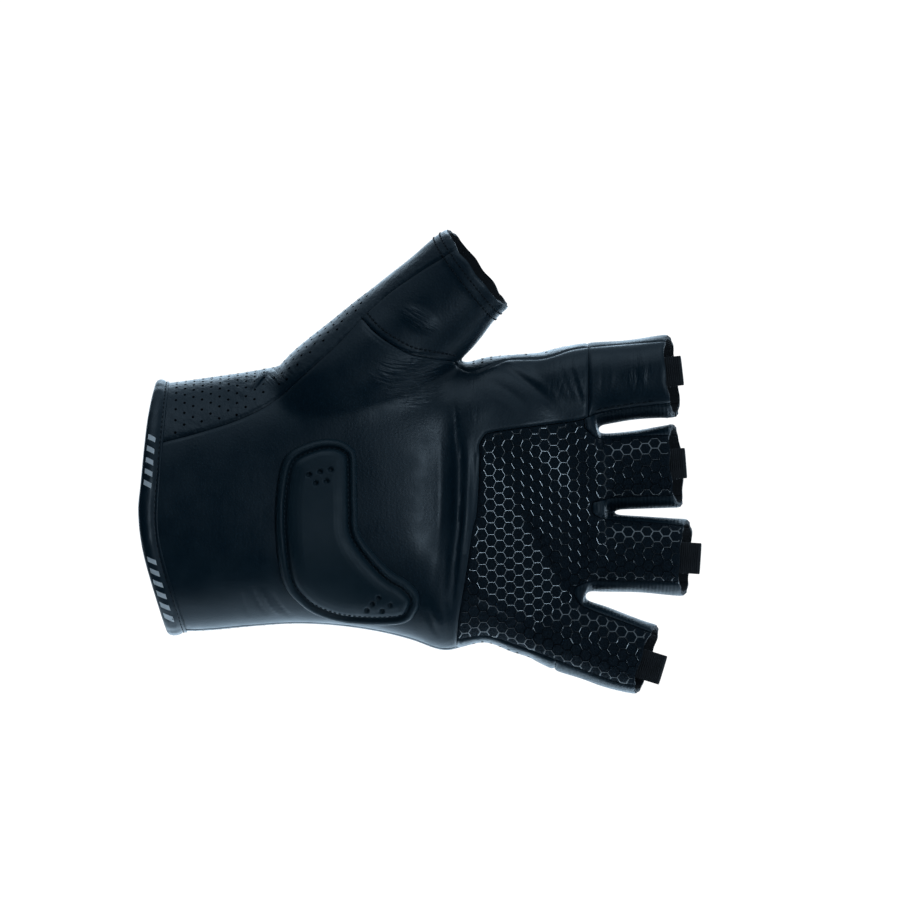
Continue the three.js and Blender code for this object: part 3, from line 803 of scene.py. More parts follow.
# %% Fold lines
FOLDS = [
    # each has the points of its line in x and z, its width and its rise
    # the upright folds beside the grip panel
    ([(95.0, 24), (95.4, 12), (94.8, -2), (93.2, -14), (91.8, -28), (91.2, -36)], 1.1, 0.45),
    ([(91.0, 27), (91.7, 12), (91.4, -4), (90.2, -18), (89.2, -32)], 0.9, 0.45),
    ([(93.1, 26), (93.5, 10), (92.9, -6), (91.6, -20), (90.4, -33)], 0.55, -0.3),
    ([(86.4, 26), (87.0, 14), (86.8, -4), (85.8, -18), (84.8, -28)], 1.2, -0.22),
    ([(91.2, 34), (91.9, 26), (92.2, 16)], 0.5, -0.2),
    # the second line below the seam at the thumb's base
    ([(61.8, 57.5), (65.5, 53.4), (70.7, 49.5), (77.1, 46.1), (83.5, 44.6), (91.3, 43.3)],
     0.45, -0.22),
    # the long diagonal crease at the base of the index finger, and its branches
    ([(103.5, 45.2), (108.5, 42.2), (112.5, 39.4), (116.9, 36.0), (120.9, 31.9), (124.2, 28.9)],
     0.9, -0.4),
    ([(106.0, 46.2), (111.5, 42.6), (116.5, 39.4), (121.5, 35.4), (125.0, 31.6)], 0.8, 0.22),
    ([(99.8, 39.6), (105.6, 37.4), (110.6, 33.8), (114.6, 29.6)], 1.2, -0.25),
    ([(101.5, 34.5), (107.5, 31.6), (112.0, 27.6)], 0.9, 0.14),
    ([(126.4, 46.6), (127.6, 41.6), (129.2, 36.6), (130.8, 31.6)], 0.6, -0.26),
    ([(128.0, 46.6), (129.2, 41.8), (130.6, 36.6), (131.4, 32.4)], 0.5, 0.2),
    ([(123.2, 45.8), (124.6, 41.2), (126.4, 36.6), (127.8, 32.6)], 0.6, -0.16),
    # wrinkles by the mouth of the index finger and behind its seam
    ([(147.6, 49.6), (147.2, 42.5), (147.9, 36.0)], 0.5, -0.1),
    ([(149.6, 49.6), (149.4, 43.5), (149.9, 37.0)], 0.45, 0.09),
    ([(151.6, 49.8), (151.2, 44.0), (151.8, 38.0)], 0.5, -0.1),
    ([(136.2, 48.4), (136.8, 42.0), (136.4, 35.0)], 0.6, -0.12),
    ([(139.0, 48.6), (139.9, 42.0), (139.4, 36.0)], 0.7, 0.1),
    # the crease and puckers where the thumb leaves the wrist
    ([(28.4, 35.8), (31.0, 39.8), (33.6, 44.4)], 0.8, 0.55),
    ([(30.2, 35.4), (32.7, 39.2), (35.2, 43.8)], 0.8, -0.35),
    ([(33.8, 42.8), (36.2, 39.9), (38.4, 38.0)], 0.5, 0.22),
    ([(35.6, 44.2), (38.4, 41.0), (40.6, 39.2)], 0.5, 0.24),
    ([(37.8, 46.0), (40.4, 42.8), (42.6, 41.0)], 0.5, 0.22),
    ([(20.5, 38.4), (24.0, 40.4), (27.0, 40.4)], 0.8, 0.22),
    ([(23.5, 36.2), (27.0, 35.2), (30.4, 35.6)], 0.8, 0.20),
    # the swelling on the front of the thumb
    ([(75.5, 60.2), (80.5, 57.6), (85.5, 54.4)], 2.6, 0.40),
    # folds below the slider's left end
    ([(29.0, -24.0), (30.6, -29.0), (33.6, -33.4)], 0.6, -0.25),
    ([(31.8, -24.5), (34.0, -29.4), (37.4, -33.6)], 0.6, 0.22),
    ([(34.6, -25.6), (37.4, -30.2), (41.2, -34.2)], 0.6, -0.24),
    ([(25.6, -26.0), (26.6, -30.4), (28.0, -34.0)], 0.7, -0.2),
    # the roll of leather under the folds
    ([(83.0, -31.0), (84.4, -36.0), (86.8, -40.6)], 0.9, -0.35),
    ([(88.4, -29.0), (89.2, -35.0), (90.2, -40.8)], 0.8, -0.35),
]
NARROW = 0.75                     # folds below this width have the surface split along them
FOLD_LEVELS = (0.3, 0.8)          # how far from their lines it is split
FOLD_REACH = 3.0
PALM_SIDE_FROM = -2.0             # the palm side is in front of this depth


def fold_rise(x, z):
    """How far the palm side stands out or sinks at a place because of all the folds."""
    total = np.zeros(x.shape)
    for line, width, rise in FOLDS:
        gap, along = line_distance(smooth_run(line), x, z, 3 * width)
        taper = 4 * along * (1 - along)
        total += rise * taper * np.exp(-((gap / width) ** 2))
    return total


x, y, z = sheet["place"].T
narrow = [line for line, width, _ in FOLDS if width < NARROW]
crease = np.min([line_distance(smooth_run(line), x, z, FOLD_REACH)[0] for line in narrow], axis=0)
sheet["crease"] = np.where(y < PALM_SIDE_FROM, crease, FAR)
for level in FOLD_LEVELS:
    sheet = split(sheet, "crease", level)
print("folds:", len(FOLDS), "of which narrow:", len(narrow), "triangles:", len(sheet["faces"]))

# %% [markdown]
# ## Pattern coordinates
# Perforations and ribs follow the leather, not the room. So each corner carries its place in the
# flat pattern: how far along its tube it lies, and how far round it. The finishes read that later.

# %% Places in the flat pattern
FINGERS_FROM = 131.0              # the broad tube isn't read past here
MEAN_DEPTH = 18.0                 # mean half depth of the broad tube
ROUND_SHARE = 1.7                 # a squarish tube is further round than an oval one


def tube_place(sideways, ahead, half, depth):
    """How far round a tube a point lies, and how near to the tube's surface, as a share."""
    turn = np.arctan2(ahead / depth, sideways / half)
    reach = np.hypot(ahead / depth, sideways / half)
    return turn, np.abs(reach - 1)


def pattern_places(points):
    """Along and round for each point, measured on whichever tube it is nearest to."""
    x, y, z = points.T
    top, low, palm, back = read(BROAD, ("top", "low", "palm", "back"), x)
    half = (top - low) / 2
    turn, miss = tube_place(z - (top + low) / 2, y, half, np.where(y < 0, palm, back))
    along = x.copy()
    around = turn * (half + MEAN_DEPTH) / ROUND_SHARE
    miss = np.where(x > FINGERS_FROM, FAR, miss)
    for form in LIMBS.values():
        offset = points - form["mouth"]
        forward, sideways = offset @ form["along"], offset @ form["across"]
        at = form["mouth"][0] + forward * form["along"][0]
        half, middle, palm, back = read(form["table"], ("half", "y", "palm", "back"), at)
        depth = np.where(y < middle, palm, back)
        turn, gap = tube_place(sideways, y - middle, half, depth)
        beside = np.abs(sideways) < half + BESIDE["pattern"]
        nearer = (gap < miss) & (at > form["table"]["x"][0]) & beside
        along = np.where(nearer, forward, along)
        around = np.where(nearer, turn * (half + depth) / 2, around)
        miss = np.where(nearer, gap, miss)
    return np.stack([along, around, 0 * x], 1)


sheet["pattern"] = pattern_places(sheet["place"])
print("pattern spans, mm:", np.ptp(sheet["pattern"], axis=0).round())

# %% [markdown]
# ## Finishes
# Every finish is worked out from numbers, with no pictures. Leather is a pebbled grain of small
# cells with a few larger wrinkles, and its gloss changes a little from place to place. The fabric is
# a fine dull weave, the printed mesh and the slider are rubber, and the ribbons are ribbed.

# %% Helpers for finishes


class Nodes:
    """A short way of adding nodes to a material or to the sky."""

    def __init__(self, tree):
        self.tree = tree

    def node(self, kind, inputs=None, **settings):
        """A node with some settings, and inputs that are numbers or other nodes' outputs."""
        new = self.tree.nodes.new(kind)
        for key, value in settings.items():
            setattr(new, key, value)
        for key, value in (inputs or {}).items():
            if isinstance(value, bpy.types.NodeSocket):
                self.tree.links.new(value, new.inputs[key])
            else:
                new.inputs[key].default_value = value
        return new

    def mapped(self, place, **inputs):
        """Places that are moved, turned or stretched."""
        return self.node("ShaderNodeMapping", {"Vector": place, **inputs}).outputs["Vector"]

    def maths(self, operation, a, b=0.0, c=0.0):
        """The result of a sum with two or three values."""
        return self.node("ShaderNodeMath", {0: a, 1: b, 2: c}, operation=operation).outputs[0]

    def noise(self, place, scale, detail=3.0, roughness=0.5):
        """Soft random lumps, their scale in lumps by millimetre."""
        inputs = {"Vector": place, "Scale": scale, "Detail": detail, "Roughness": roughness}
        return self.node("ShaderNodeTexNoise", inputs).outputs[0]

    def cells(self, place, scale, feature="F1"):
        """Small rounded cells: the distance from the middle of each."""
        inputs = {"Vector": place, "Scale": scale}
        return self.node("ShaderNodeTexVoronoi", inputs, feature=feature).outputs["Distance"]

    def spread(self, value, low, high, to_low=0.0, to_high=1.0):
        """A value moved smoothly from one range to another."""
        inputs = {0: value, 1: low, 2: high, 3: to_low, 4: to_high}
        return self.node("ShaderNodeMapRange", inputs, interpolation_type="SMOOTHSTEP").outputs[0]


print("node helper ready")

# %% A finish that can be given colours and bumps


class Finish(Nodes):
    """A material: its colour, its roughness and any other sockets that need a value."""

    def __init__(self, name, colour, roughness, sockets=None):
        self.material = bpy.data.materials.new(name)
        self.material.use_nodes = True
        super().__init__(self.material.node_tree)
        self.shader = self.tree.nodes["Principled BSDF"]
        sockets = {"Base Color": (*colour, 1), "Roughness": roughness, **(sockets or {})}
        for socket, value in sockets.items():
            self.shader.inputs[socket].default_value = value
        self.height = None

    def millimetres(self, stretch=(1, 1, 1)):
        """Places on the object in millimetres, stretched along some axes."""
        place = self.node("ShaderNodeTexCoord").outputs["Object"]
        return self.mapped(place, Scale=tuple(s / MM for s in stretch))

    def carried(self, name):
        """Places that the mesh's corners carry."""
        return self.node("ShaderNodeAttribute", attribute_name=name).outputs["Vector"]

    def streaks(self, middle, lean, along, across, length, pitch, height_mm, bend=0.0):
        """Fine wrinkles at a lean across a patch of the leather, which fade towards its border."""
        place = self.mapped(self.millimetres(), Location=tuple(-at for at in middle))
        turned = self.mapped(place, Rotation=(0.0, math.radians(lean), 0.0))
        parts = self.node("ShaderNodeSeparateXYZ", {0: turned}).outputs
        square = self.maths("MULTIPLY", parts["X"], parts["X"])
        side = self.maths("MULTIPLY_ADD", square, -bend, parts["Z"])
        flat = self.node("ShaderNodeCombineXYZ", {"X": parts["X"], "Y": 0.0, "Z": side}).outputs[0]
        shares = self.mapped(flat, Scale=(1 / along, 1.0, 1 / across))
        far = self.node("ShaderNodeVectorMath", {0: shares}, operation="LENGTH").outputs["Value"]
        amount = self.spread(far, 0.35, 1.0, 1.0, 0.0)
        waves = self.noise(self.mapped(flat, Scale=(1 / length, 1.0, 1 / pitch)), 1.0, 2.0)
        self.raise_by(self.maths("MULTIPLY", waves, amount), height_mm)

    def colours(self, value, dark, light):
        """Gives the finish a colour between a dark and a light one."""
        mix = self.node("ShaderNodeMix", {0: value, 6: (*dark, 1), 7: (*light, 1)}, data_type="RGBA")
        self.link(mix.outputs[2], "Base Color")

    def raise_by(self, value, height_mm, strength=1.0):
        """Adds a bump of a height in millimetres on top of the bumps before it."""
        inputs = {"Height": value, "Distance": height_mm * MM, "Strength": strength}
        if self.height is not None:
            inputs["Normal"] = self.height
        self.height = self.node("ShaderNodeBump", inputs).outputs["Normal"]
        self.tree.links.new(self.height, self.shader.inputs["Normal"])

    def link(self, output, socket):
        """Lets a node's output set one of the finish's sockets."""
        self.tree.links.new(output, self.shader.inputs[socket])


print("finish helper ready")

# %% Leathers


def leather(name, dark, light, rough_low, rough_high, grain=0.034):
    """Smooth-grained leather: pebbles, pores and a slow change of gloss."""
    finish = Finish(name, dark, rough_low, {"Specular IOR Level": 0.4})
    place = finish.millimetres()
    slow = finish.noise(place, 0.09, detail=4.0, roughness=0.6)
    finish.colours(slow, dark, light)
    finish.link(finish.spread(slow, 0.3, 0.7, rough_low, rough_high), "Roughness")
    pebbles = finish.cells(place, 1.5, feature="SMOOTH_F1")
    finish.raise_by(pebbles, grain, 0.8)
    pores = finish.noise(place, 4.0, detail=2.0)
    finish.raise_by(pores, grain * 0.5, 0.7)
    wrinkles = finish.noise(finish.millimetres((1.0, 0.4, 0.22)), 0.55, detail=2.0)
    finish.raise_by(wrinkles, 0.04, 0.7)
    return finish


NAVY_DARK, NAVY_LIGHT = (0.0022, 0.0125, 0.0220), (0.0036, 0.0180, 0.0290)
smooth_leather = leather("smooth leather", NAVY_DARK, NAVY_LIGHT, 0.34, 0.46)
STREAKS = [
    # middle and lean in degrees, half length and half width of the patch, then the length, pitch
    # and height of its wrinkles, and how much they bend
    ((78.1, -20, 39.5), 0.0, 15.0, 11.0, 7.0, 0.95, 0.50, 0.018),   # under the thumb's seam
    ((80.5, -20, 57.7), -30.0, 8.0, 4.5, 5.0, 1.0, 0.34, 0.0),      # on the front of the thumb
    ((98.6, -20, 33.5), 90.0, 10.0, 5.5, 6.0, 1.0, 0.22, 0.0),      # below the thumb's crotch
    ((125.0, -15, 40.0), 80.0, 9.0, 9.0, 6.0, 1.3, 0.26, 0.0),      # before the index finger
    ((148.0, -15, 42.0), 88.0, 10.0, 6.0, 6.0, 1.2, 0.26, 0.0),     # at the index finger's mouth
    ((24.0, -20, 0.0), 87.0, 22.0, 12.0, 12.0, 1.8, 0.05, 0.0),     # beside the cuff
]
for streak in STREAKS:
    smooth_leather.streaks(*streak)
binding_leather = leather("binding leather", NAVY_DARK, NAVY_LIGHT, 0.34, 0.46)

perforated_leather = leather("perforated leather", NAVY_DARK, NAVY_LIGHT, 0.36, 0.48, grain=0.05)
lumps = perforated_leather.noise(perforated_leather.millimetres(), 0.42, detail=2.0)
perforated_leather.raise_by(lumps, 0.26, 0.8)
PUCKERS = [
    ((31.4, -14, 40.4), 54.0, 5.5, 1.6, 9.0, 1.5, 0.85, 0.0),       # bright crease beside the thumb
    ((36.8, -14, 41.2), -42.0, 5.5, 6.0, 5.0, 0.9, 0.60, 0.0),      # fine wrinkles behind it
    ((27.0, -14, 38.0), 20.0, 10.0, 6.0, 2.6, 1.8, 0.45, 0.0),      # puckers towards the cuff
]
for streak in PUCKERS:
    perforated_leather.streaks(*streak)
# painted shade: the holes are matte near-black plugs, not cuts, and this colour stands in for their
# shaded inside
hole_painted_shade = Finish("punched hole painted shade", (0.0010, 0.0020, 0.0032), 1.0, {"Specular IOR Level": 0.0})

plain_leather = leather("strip leather", NAVY_DARK, NAVY_LIGHT, 0.42, 0.56)
RIB_PITCH = 1.15
ribs = plain_leather.mapped(plain_leather.carried("pattern"), Scale=(1 / RIB_PITCH, 0.0, 0.0))
waves = plain_leather.node(
    "ShaderNodeTexWave", {"Vector": ribs, "Scale": 0.32, "Distortion": 1.2, "Detail": 2.0},
    bands_direction="X",
).outputs[0]
plain_leather.raise_by(waves, 0.08, 0.8)
print("leathers: smooth, strip, binding and perforated")

# %% Fabric, rubber, ribbon, thread, lining, cut edges and printing
grip_fabric = Finish("grip fabric", (0.002, 0.003, 0.005), 0.85, {"Specular IOR Level": 0.25})
place = grip_fabric.millimetres()
knots = grip_fabric.cells(place, 1.9)
grip_fabric.colours(knots, (0.0045, 0.0150, 0.0250), (0.0008, 0.0040, 0.0075))
grip_fabric.raise_by(knots, 0.22)
grip_fabric.raise_by(grip_fabric.noise(place, 5.0), 0.1, 0.8)

mesh_print = Finish(
    "printed mesh", (0.0020, 0.0065, 0.011), 0.2,
    {"Coat Weight": 0.8, "Coat Roughness": 0.13, "Specular IOR Level": 0.8},
)
mesh_print.raise_by(mesh_print.noise(mesh_print.millimetres(), 2.2, 2.0), 0.03, 0.5)

slider_rubber = Finish(
    "slider rubber", (0.0044, 0.0185, 0.0285), 0.50, {"Specular IOR Level": 0.35}
)
place = slider_rubber.millimetres()
gloss = slider_rubber.spread(slider_rubber.noise(place, 0.12), 0.3, 0.7, 0.44, 0.58)
slider_rubber.link(gloss, "Roughness")
slider_rubber.raise_by(slider_rubber.noise(place, 3.5), 0.03, 0.6)

ribbon = Finish("ribbon", (0.006, 0.007, 0.009), 0.75)
place = ribbon.millimetres()
ribbon.raise_by(ribbon.noise(place, 4.0, 2.0), 0.05, 0.7)
ribbon.colours(ribbon.noise(place, 0.8), (0.004, 0.005, 0.007), (0.009, 0.010, 0.013))

thread = Finish("thread", (0.0018, 0.0075, 0.0130), 0.70, {"Specular IOR Level": 0.3})
thread.raise_by(thread.noise(thread.millimetres(), 6.0, 1.0), 0.05, 0.8)

lining = Finish("lining", (0.006, 0.007, 0.009), 0.95)
lining.raise_by(lining.cells(lining.millimetres(), 2.6), 0.12, 0.9)

cut_edge = Finish("cut edge", (0.042, 0.044, 0.048), 0.9)
fibres = cut_edge.noise(cut_edge.millimetres(), 3.0, 4.0, 0.7)
cut_edge.colours(fibres, (0.018, 0.019, 0.021), (0.095, 0.098, 0.105))
cut_edge.raise_by(fibres, 0.2, 0.9)

white_print = Finish("white print", (0.70, 0.71, 0.72), 0.55)
white_print.raise_by(white_print.noise(white_print.millimetres(), 2.5, 2.0), 0.02, 0.5)
print("finishes:", len(bpy.data.materials))

# %% [markdown]
# ## The sewn panels
# Two panels are sewn with their good sides together and turned, so each panel's edge rolls down
# into the seam. Each panel is cut out of the surface, its outer face is lowered along the seams by a
# round roll, the folds are added, and an inner face one wall below closes it to a solid sheet of
# leather. The cut edges at the mouths are rounded a little and show their fibres.

# %% A closed sheet of leather


def closed_sheet(outer, inner, faces):
    """Corners and faces of a shell: outer side, inner side and two rows of rim triangles."""
    count = len(outer)
    a, b = open_edges(faces).T
    sides = np.concatenate([np.stack([b, a, a + count], 1), np.stack([b, a + count, b + count], 1)])
    faces = np.concatenate([faces, faces[:, ::-1] + count, sides])
    return np.concatenate([outer, inner]), faces.tolist()


def add_mesh(name, points, faces, finishes, slot, nodes=(), crisp=50, numbers=None, carried=None):
    """A mesh object in the frame, in metres, riding on the glove's body."""
    mesh = bpy.data.meshes.new(name)
    mesh.from_pydata((points * MM).tolist(), [], faces)
    for finish in finishes:
        mesh.materials.append(finish.material)
    if numbers is not None:
        mesh.polygons.foreach_set("material_index", np.asarray(numbers, np.int32))
    mesh.polygons.foreach_set("use_smooth", [True] * len(mesh.polygons))
    mesh.set_sharp_from_angle(angle=math.radians(crisp))
    for key, value in (carried or {}).items():
        attribute = mesh.attributes.new(key, "FLOAT_VECTOR", "POINT")
        attribute.data.foreach_set("vector", np.asarray(value, np.float32).reshape(-1))
    mesh.update()
    obj = placed(name, mesh)
    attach(obj, "root")
    if nodes:
        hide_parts(*nodes)
    mesh.calc_loop_triangles()
    print(f"{name}: {len(mesh.loop_triangles)} triangles")


print("sheet tools ready")

# %% Cut out, roll the edges, fold and close
SEAM_GAP = 0.12
# An edge that faces upwards rolls down less, because the light from above catches it most
ROLL = {"width": 1.2, "drop": 0.42, "level": 1.15, "upward": 0.85, "least": 0.4}
ROLL_LEVELS = (0.2, 0.5, 0.85, 1.2)
FOLDS_FADE = {"from": -1.0, "over": 4.0}    # depth where the folds start, and how soon they are full
FABRIC = {"sink": 0.25, "width": 2.5, "folds": 0.3}   # thinner than leather, with lower folds
BACK_SINK = {"depth": 0.2, "width": 0.8}
HEM = {"depth": 5.9, "rise": 0.22, "ramp": 0.8}
RIM = {"round": 0.3, "width": 1.1, "touch": 0.02}
SLOTS = {
    "palm_panel": ("smooth_leather", smooth_leather),
    "thumb_front": ("smooth_leather", smooth_leather),
    "index_face": ("smooth_leather", smooth_leather),
    "grip_panel": ("grip_fabric", grip_fabric),
    "back_panel": ("perforated_leather", perforated_leather),
}
skin_points, skin_faces, panels = [], [], {}


def edge_drop(gap, upward):
    """How far an edge sinks at a distance from its seam: steeper and steeper towards it."""
    share = np.clip(1 - gap / ROLL["width"], 0, 1)
    return ROLL["drop"] * share**2 * np.clip(ROLL["level"] - ROLL["upward"] * upward, ROLL["least"], 1)


def sewn_panel(name):
    """Adds one panel of the glove as a closed shell that replaces its solid."""
    part = above(sheet, name, SEAM_GAP / 2)
    for level in ROLL_LEVELS:
        part = split(part, name, level)
    place, normal, inset, mouth = part["place"], unit(part["normal"]), part[name], part["mouth"]
    lift = -edge_drop(inset - SEAM_GAP / 2, normal[:, 2])
    palm_side = np.clip((FOLDS_FADE["from"] - place[:, 1]) / FOLDS_FADE["over"], 0, 1)
    folded = fold_rise(place[:, 0], place[:, 2])
    if name == "grip_panel":
        lift = lift - FABRIC["sink"] * np.exp(-inset / FABRIC["width"])
        folded = folded * FABRIC["folds"]
    if name == "back_panel":
        lift = lift - BACK_SINK["depth"] * np.exp(-((inset / BACK_SINK["width"]) ** 2))
    if name == "thumb_front":
        lift = lift + HEM["rise"] * np.clip((HEM["depth"] - mouth) / HEM["ramp"], 0, 1)
    rim_round = RIM["round"] * np.clip(1 - mouth / RIM["width"], 0, 1) ** 2
    outer = place + normal * (lift + folded * palm_side - rim_round)[:, None]
    skin_faces.append(part["faces"] + sum(len(p) for p in skin_points))
    skin_points.append(outer)
    points, faces = closed_sheet(outer, place - normal * WALL, part["faces"])
    slot, finish = SLOTS.get(name, ("smooth_leather", plain_leather))
    at_mouth = (np.minimum(mouth, part["cuff"])[open_edges(part["faces"])] < RIM["touch"]).all(1)
    numbers = np.concatenate([np.repeat([0, 2], len(part["faces"])), np.tile(at_mouth, 2)])
    panels[name] = {**part, "outer": outer}
    add_mesh(
        name + "_sewn", points, faces, [finish, cut_edge, lining], slot, [name], 60, numbers,
        {"pattern": np.concatenate([part["pattern"]] * 2)},
    )


for name in values:
    sewn_panel(name)
skin = BVHTree.FromPolygons(np.concatenate(skin_points).tolist(), np.concatenate(skin_faces).tolist())

# %% Tape behind the seams
TAPE = {"half": 1.3, "thick": 0.25, "gap": 0.02}
sheet["seam"] = TAPE["half"] - np.max([sheet[name] for name in values], axis=0)
tape = above(sheet, "seam")
normals = unit(tape["normal"])
front = tape["place"] - normals * (WALL + TAPE["gap"])
add_mesh(
    "seam_tape", *closed_sheet(front, front - normals * TAPE["thick"], tape["faces"]), [lining],
    "smooth_leather",
)

# %% [markdown]
# ## The slider
# The slider is a moulded rubber plate sewn on the heel of the palm. It has a rounded rim, a groove
# for the stitches and a raised pad with two groups of dimples. A mesh inside its outline is laid on
# the glove's form and raised by a profile: height against distance from the outline. The mesh is
# split along the lines where the profile bends, which keeps the rim and groove crisp.

# %% Slider outline and profile
SLIDER_OUTLINE = [
    (39.4, 15.6), (47.4, 20.3), (54.8, 21.0), (59.8, 18.5), (61.3, 14.6), (61.6, 0), (62.6, -8.6),
    (70.7, -18.5), (77.1, -22.8), (80.4, -27.0), (79.8, -31.8), (75.2, -35.4), (60.8, -35.1),
    (50.8, -33.2), (43.6, -29.4), (38.4, -22.4), (36.4, -8), (36.7, 5),
]
SLIDER_PROFILE = [
    # distance in from the outline, height above the leather
    (0.0, 0.05), (0.2, 0.95), (0.5, 1.50), (1.0, 1.95), (1.5, 2.08), (2.0, 1.95), (2.35, 1.60),
    (2.6, 1.20), (2.85, 1.05), (3.1, 1.20), (3.4, 1.70), (3.75, 2.25), (4.2, 2.65), (5.0, 2.98),
    (6.5, 3.30), (7.8, 3.42),
]
DIMPLES = [
    (46.6, 10.1), (50.0, 11.0), (53.3, 11.6), (48.7, 7.5), (52.0, 8.1),
    (67.9, -27.8), (66.0, -29.7), (64.3, -31.6), (71.5, -30.0), (69.0, -31.9),
]
DIMPLE = {"radius": 0.95, "depth": 0.85, "rim": 1.05, "slope": 0.6, "levels": (0.45, 0.75, 1.05)}
GROOVE = 2.85                     # how far in the middle of its groove lies
# The slider's grid: its step along X, and where round the broad tube it starts and ends
SLIDER_GRID = {"step": 0.46, "turns": (3.58, 5.75), "columns": 190, "margin": 1.0}
SLIDER_RELAX = {"grid": 8, "grid_normals": 6, "normals": 12}   # rounds
SLIDER_SEAT = 0.05                # how far over the leather its face and its underside start
UNDERSIDE = 0.4                   # the underside's share of that


def smooth_loop(points, step=0.8):
    """Points close together on a smooth closed curve."""
    ends = 3
    loop = np.array(points[-ends:] + points + points[:ends], float)
    length = way_along(loop)
    start, end = length[ends], length[ends + len(points)]
    at = np.linspace(start, end, int(round((end - start) / step)) + 1)[:-1]
    return np.stack([curve_value(length, loop[:, k], at) for k in range(2)], 1)


glove_form = BVHTree.FromPolygons(points.tolist(), faces.tolist())


def lay_on(tree, x, z):
    """Where lines straight at the palm meet a surface, and which way it faces there."""
    places, normals = [], []
    for px, pz in zip(x, z):
        hit, normal, _, _ = tree.ray_cast(Vector((px, -90.0, pz)), Vector((0, 1, 0)))
        places.append((px, 0.0, pz) if hit is None else tuple(hit))
        normals.append((0.0, -1.0, 0.0) if hit is None else tuple(normal))
    return np.array(places), np.array(normals)


def lay_along(tree, places, directions, far=12.0):
    """Moves places along their own directions onto a surface; those that miss it stay."""
    moved = places.copy()
    for number, (place, way) in enumerate(zip(places + far * directions, directions)):
        hit = tree.ray_cast(Vector(place), Vector(-way), 2 * far)[0]
        if hit is not None:
            moved[number] = hit
    return moved


def slider_height(inset):
    """The height of the slider at a distance in from its outline."""
    return np.interp(inset, *np.array(SLIDER_PROFILE).T)


def grid_triangles(rows, columns):
    """The triangles of a grid of corners."""
    corner = np.arange(rows * columns).reshape(rows, columns)
    a, b = corner[:-1, :-1].ravel(), corner[1:, :-1].ravel()
    c, d = corner[1:, 1:].ravel(), corner[:-1, 1:].ravel()
    return np.concatenate([np.stack([a, b, c], 1), np.stack([a, c, d], 1)])


print("slider tools ready")

# %% Lay the slider's mesh on the glove
slider_loop = smooth_loop(SLIDER_OUTLINE)
first, last = slider_loop[:, 0].min() - SLIDER_GRID["margin"], slider_loop[:, 0].max()
columns = np.arange(first, last + SLIDER_GRID["margin"], SLIDER_GRID["step"])
turns = np.linspace(*SLIDER_GRID["turns"], SLIDER_GRID["columns"])
grid = broad_rings(columns, turns).reshape(-1, 3)
grid_faces = grid_triangles(len(columns), len(turns))
grid_normals = corner_normals(grid, grid_faces)
if grid_normals[:, 1].mean() > 0:
    grid_faces = grid_faces[:, ::-1]
    grid_normals = -grid_normals
grid = relax(lay_along(glove_form, grid, grid_normals), grid_faces, SLIDER_RELAX["grid"])
grid_normals = relax(grid_normals, grid_faces, SLIDER_RELAX["grid_normals"])
inset = outline_value(slider_loop, grid, grid_normals)
raised = grid + grid_normals * slider_height(inset)[:, None]
dimple = np.min([np.hypot(raised[:, 0] - x, raised[:, 2] - z) for x, z in DIMPLES], axis=0)
plate = {"faces": grid_faces, "place": grid, "inset": inset, "dimple": dimple / DIMPLE["radius"]}
plate = above(plate, "inset")
for level, _ in SLIDER_PROFILE[1:]:
    plate = split(plate, "inset", level)
for level in DIMPLE["levels"]:
    plate = split(plate, "dimple", level)
print("slider plate:", len(plate["faces"]), "triangles")

# %% Raise the slider
base = plate["place"]
normals = corner_normals(base, plate["faces"])
normals = unit(relax(normals, plate["faces"], SLIDER_RELAX["normals"]))
sunk = np.clip((DIMPLE["rim"] - plate["dimple"]) / DIMPLE["slope"], 0, 1)
rise = slider_height(plate["inset"]) - DIMPLE["depth"] * sunk
slider_points, slider_faces = closed_sheet(
    base + normals * (rise + SLIDER_SEAT)[:, None],
    base + normals * SLIDER_SEAT * UNDERSIDE,
    plate["faces"],
)
add_mesh(
    "palm_slider_moulded", slider_points, slider_faces, [slider_rubber], "slider_rubber",
    ["palm_slider"], 75,
)
slider_form = BVHTree.FromPolygons(slider_points.tolist(), slider_faces)
print("slider height over the leather:", round(float(rise.max()), 2))

# %% [markdown]
# ## Swept pieces
# Stitches, printed lines, ribbons and bindings are all one section carried along a path. One helper
# makes such a closed sweep, and each piece gives it its own path and section.

# %% A closed sweep


def sweep(rings, endless=False):
    """The corners and faces of a sweep of rings: both ends shut, or joined where it is endless."""
    rings = np.asarray(rings)
    count, around = rings.shape[:2]
    index = np.arange(count * around).reshape(count, around)
    here, ahead = (index, np.roll(index, -1, axis=0)) if endless else (index[:-1], index[1:])
    corners = [here, np.roll(here, -1, axis=1), np.roll(ahead, -1, axis=1), ahead]
    sides = np.stack(corners, -1).reshape(-1, 4).tolist()
    ends = [] if endless else [index[0][::-1].tolist(), index[-1].tolist()]
    return rings.reshape(-1, 3), sides + ends


def add_parts(name, parts, finish, slot, nodes=(), crisp=50):
    """Adds many small closed forms as one mesh object."""
    faces, start = [], 0
    for part_points, part_faces in parts:
        faces += [[start + i for i in face] for face in part_faces]
        start += len(part_points)
    add_mesh(name, np.concatenate([p for p, _ in parts]), faces, [finish], slot, nodes, crisp)


def circle(sides, radius):
    """The corners of a small round section."""
    turns = full_turn(sides)
    return np.stack([np.cos(turns), np.sin(turns)], 1) * radius


def section_rings(path, normals, section):
    """Rings of a section along a path; its rows are (sideways, up), or one set for each point."""
    path, normals, section = np.asarray(path), unit(np.asarray(normals)), np.asarray(section, float)
    forward = unit(np.gradient(path, axis=0))
    side = unit(np.cross(normals, forward))
    up = np.cross(forward, side)
    if section.ndim == 2:
        section = np.broadcast_to(section, (len(path),) + section.shape)
    return path[:, None] + section[..., :1] * side[:, None] + section[..., 1:] * up[:, None]


print("sweeps ready")

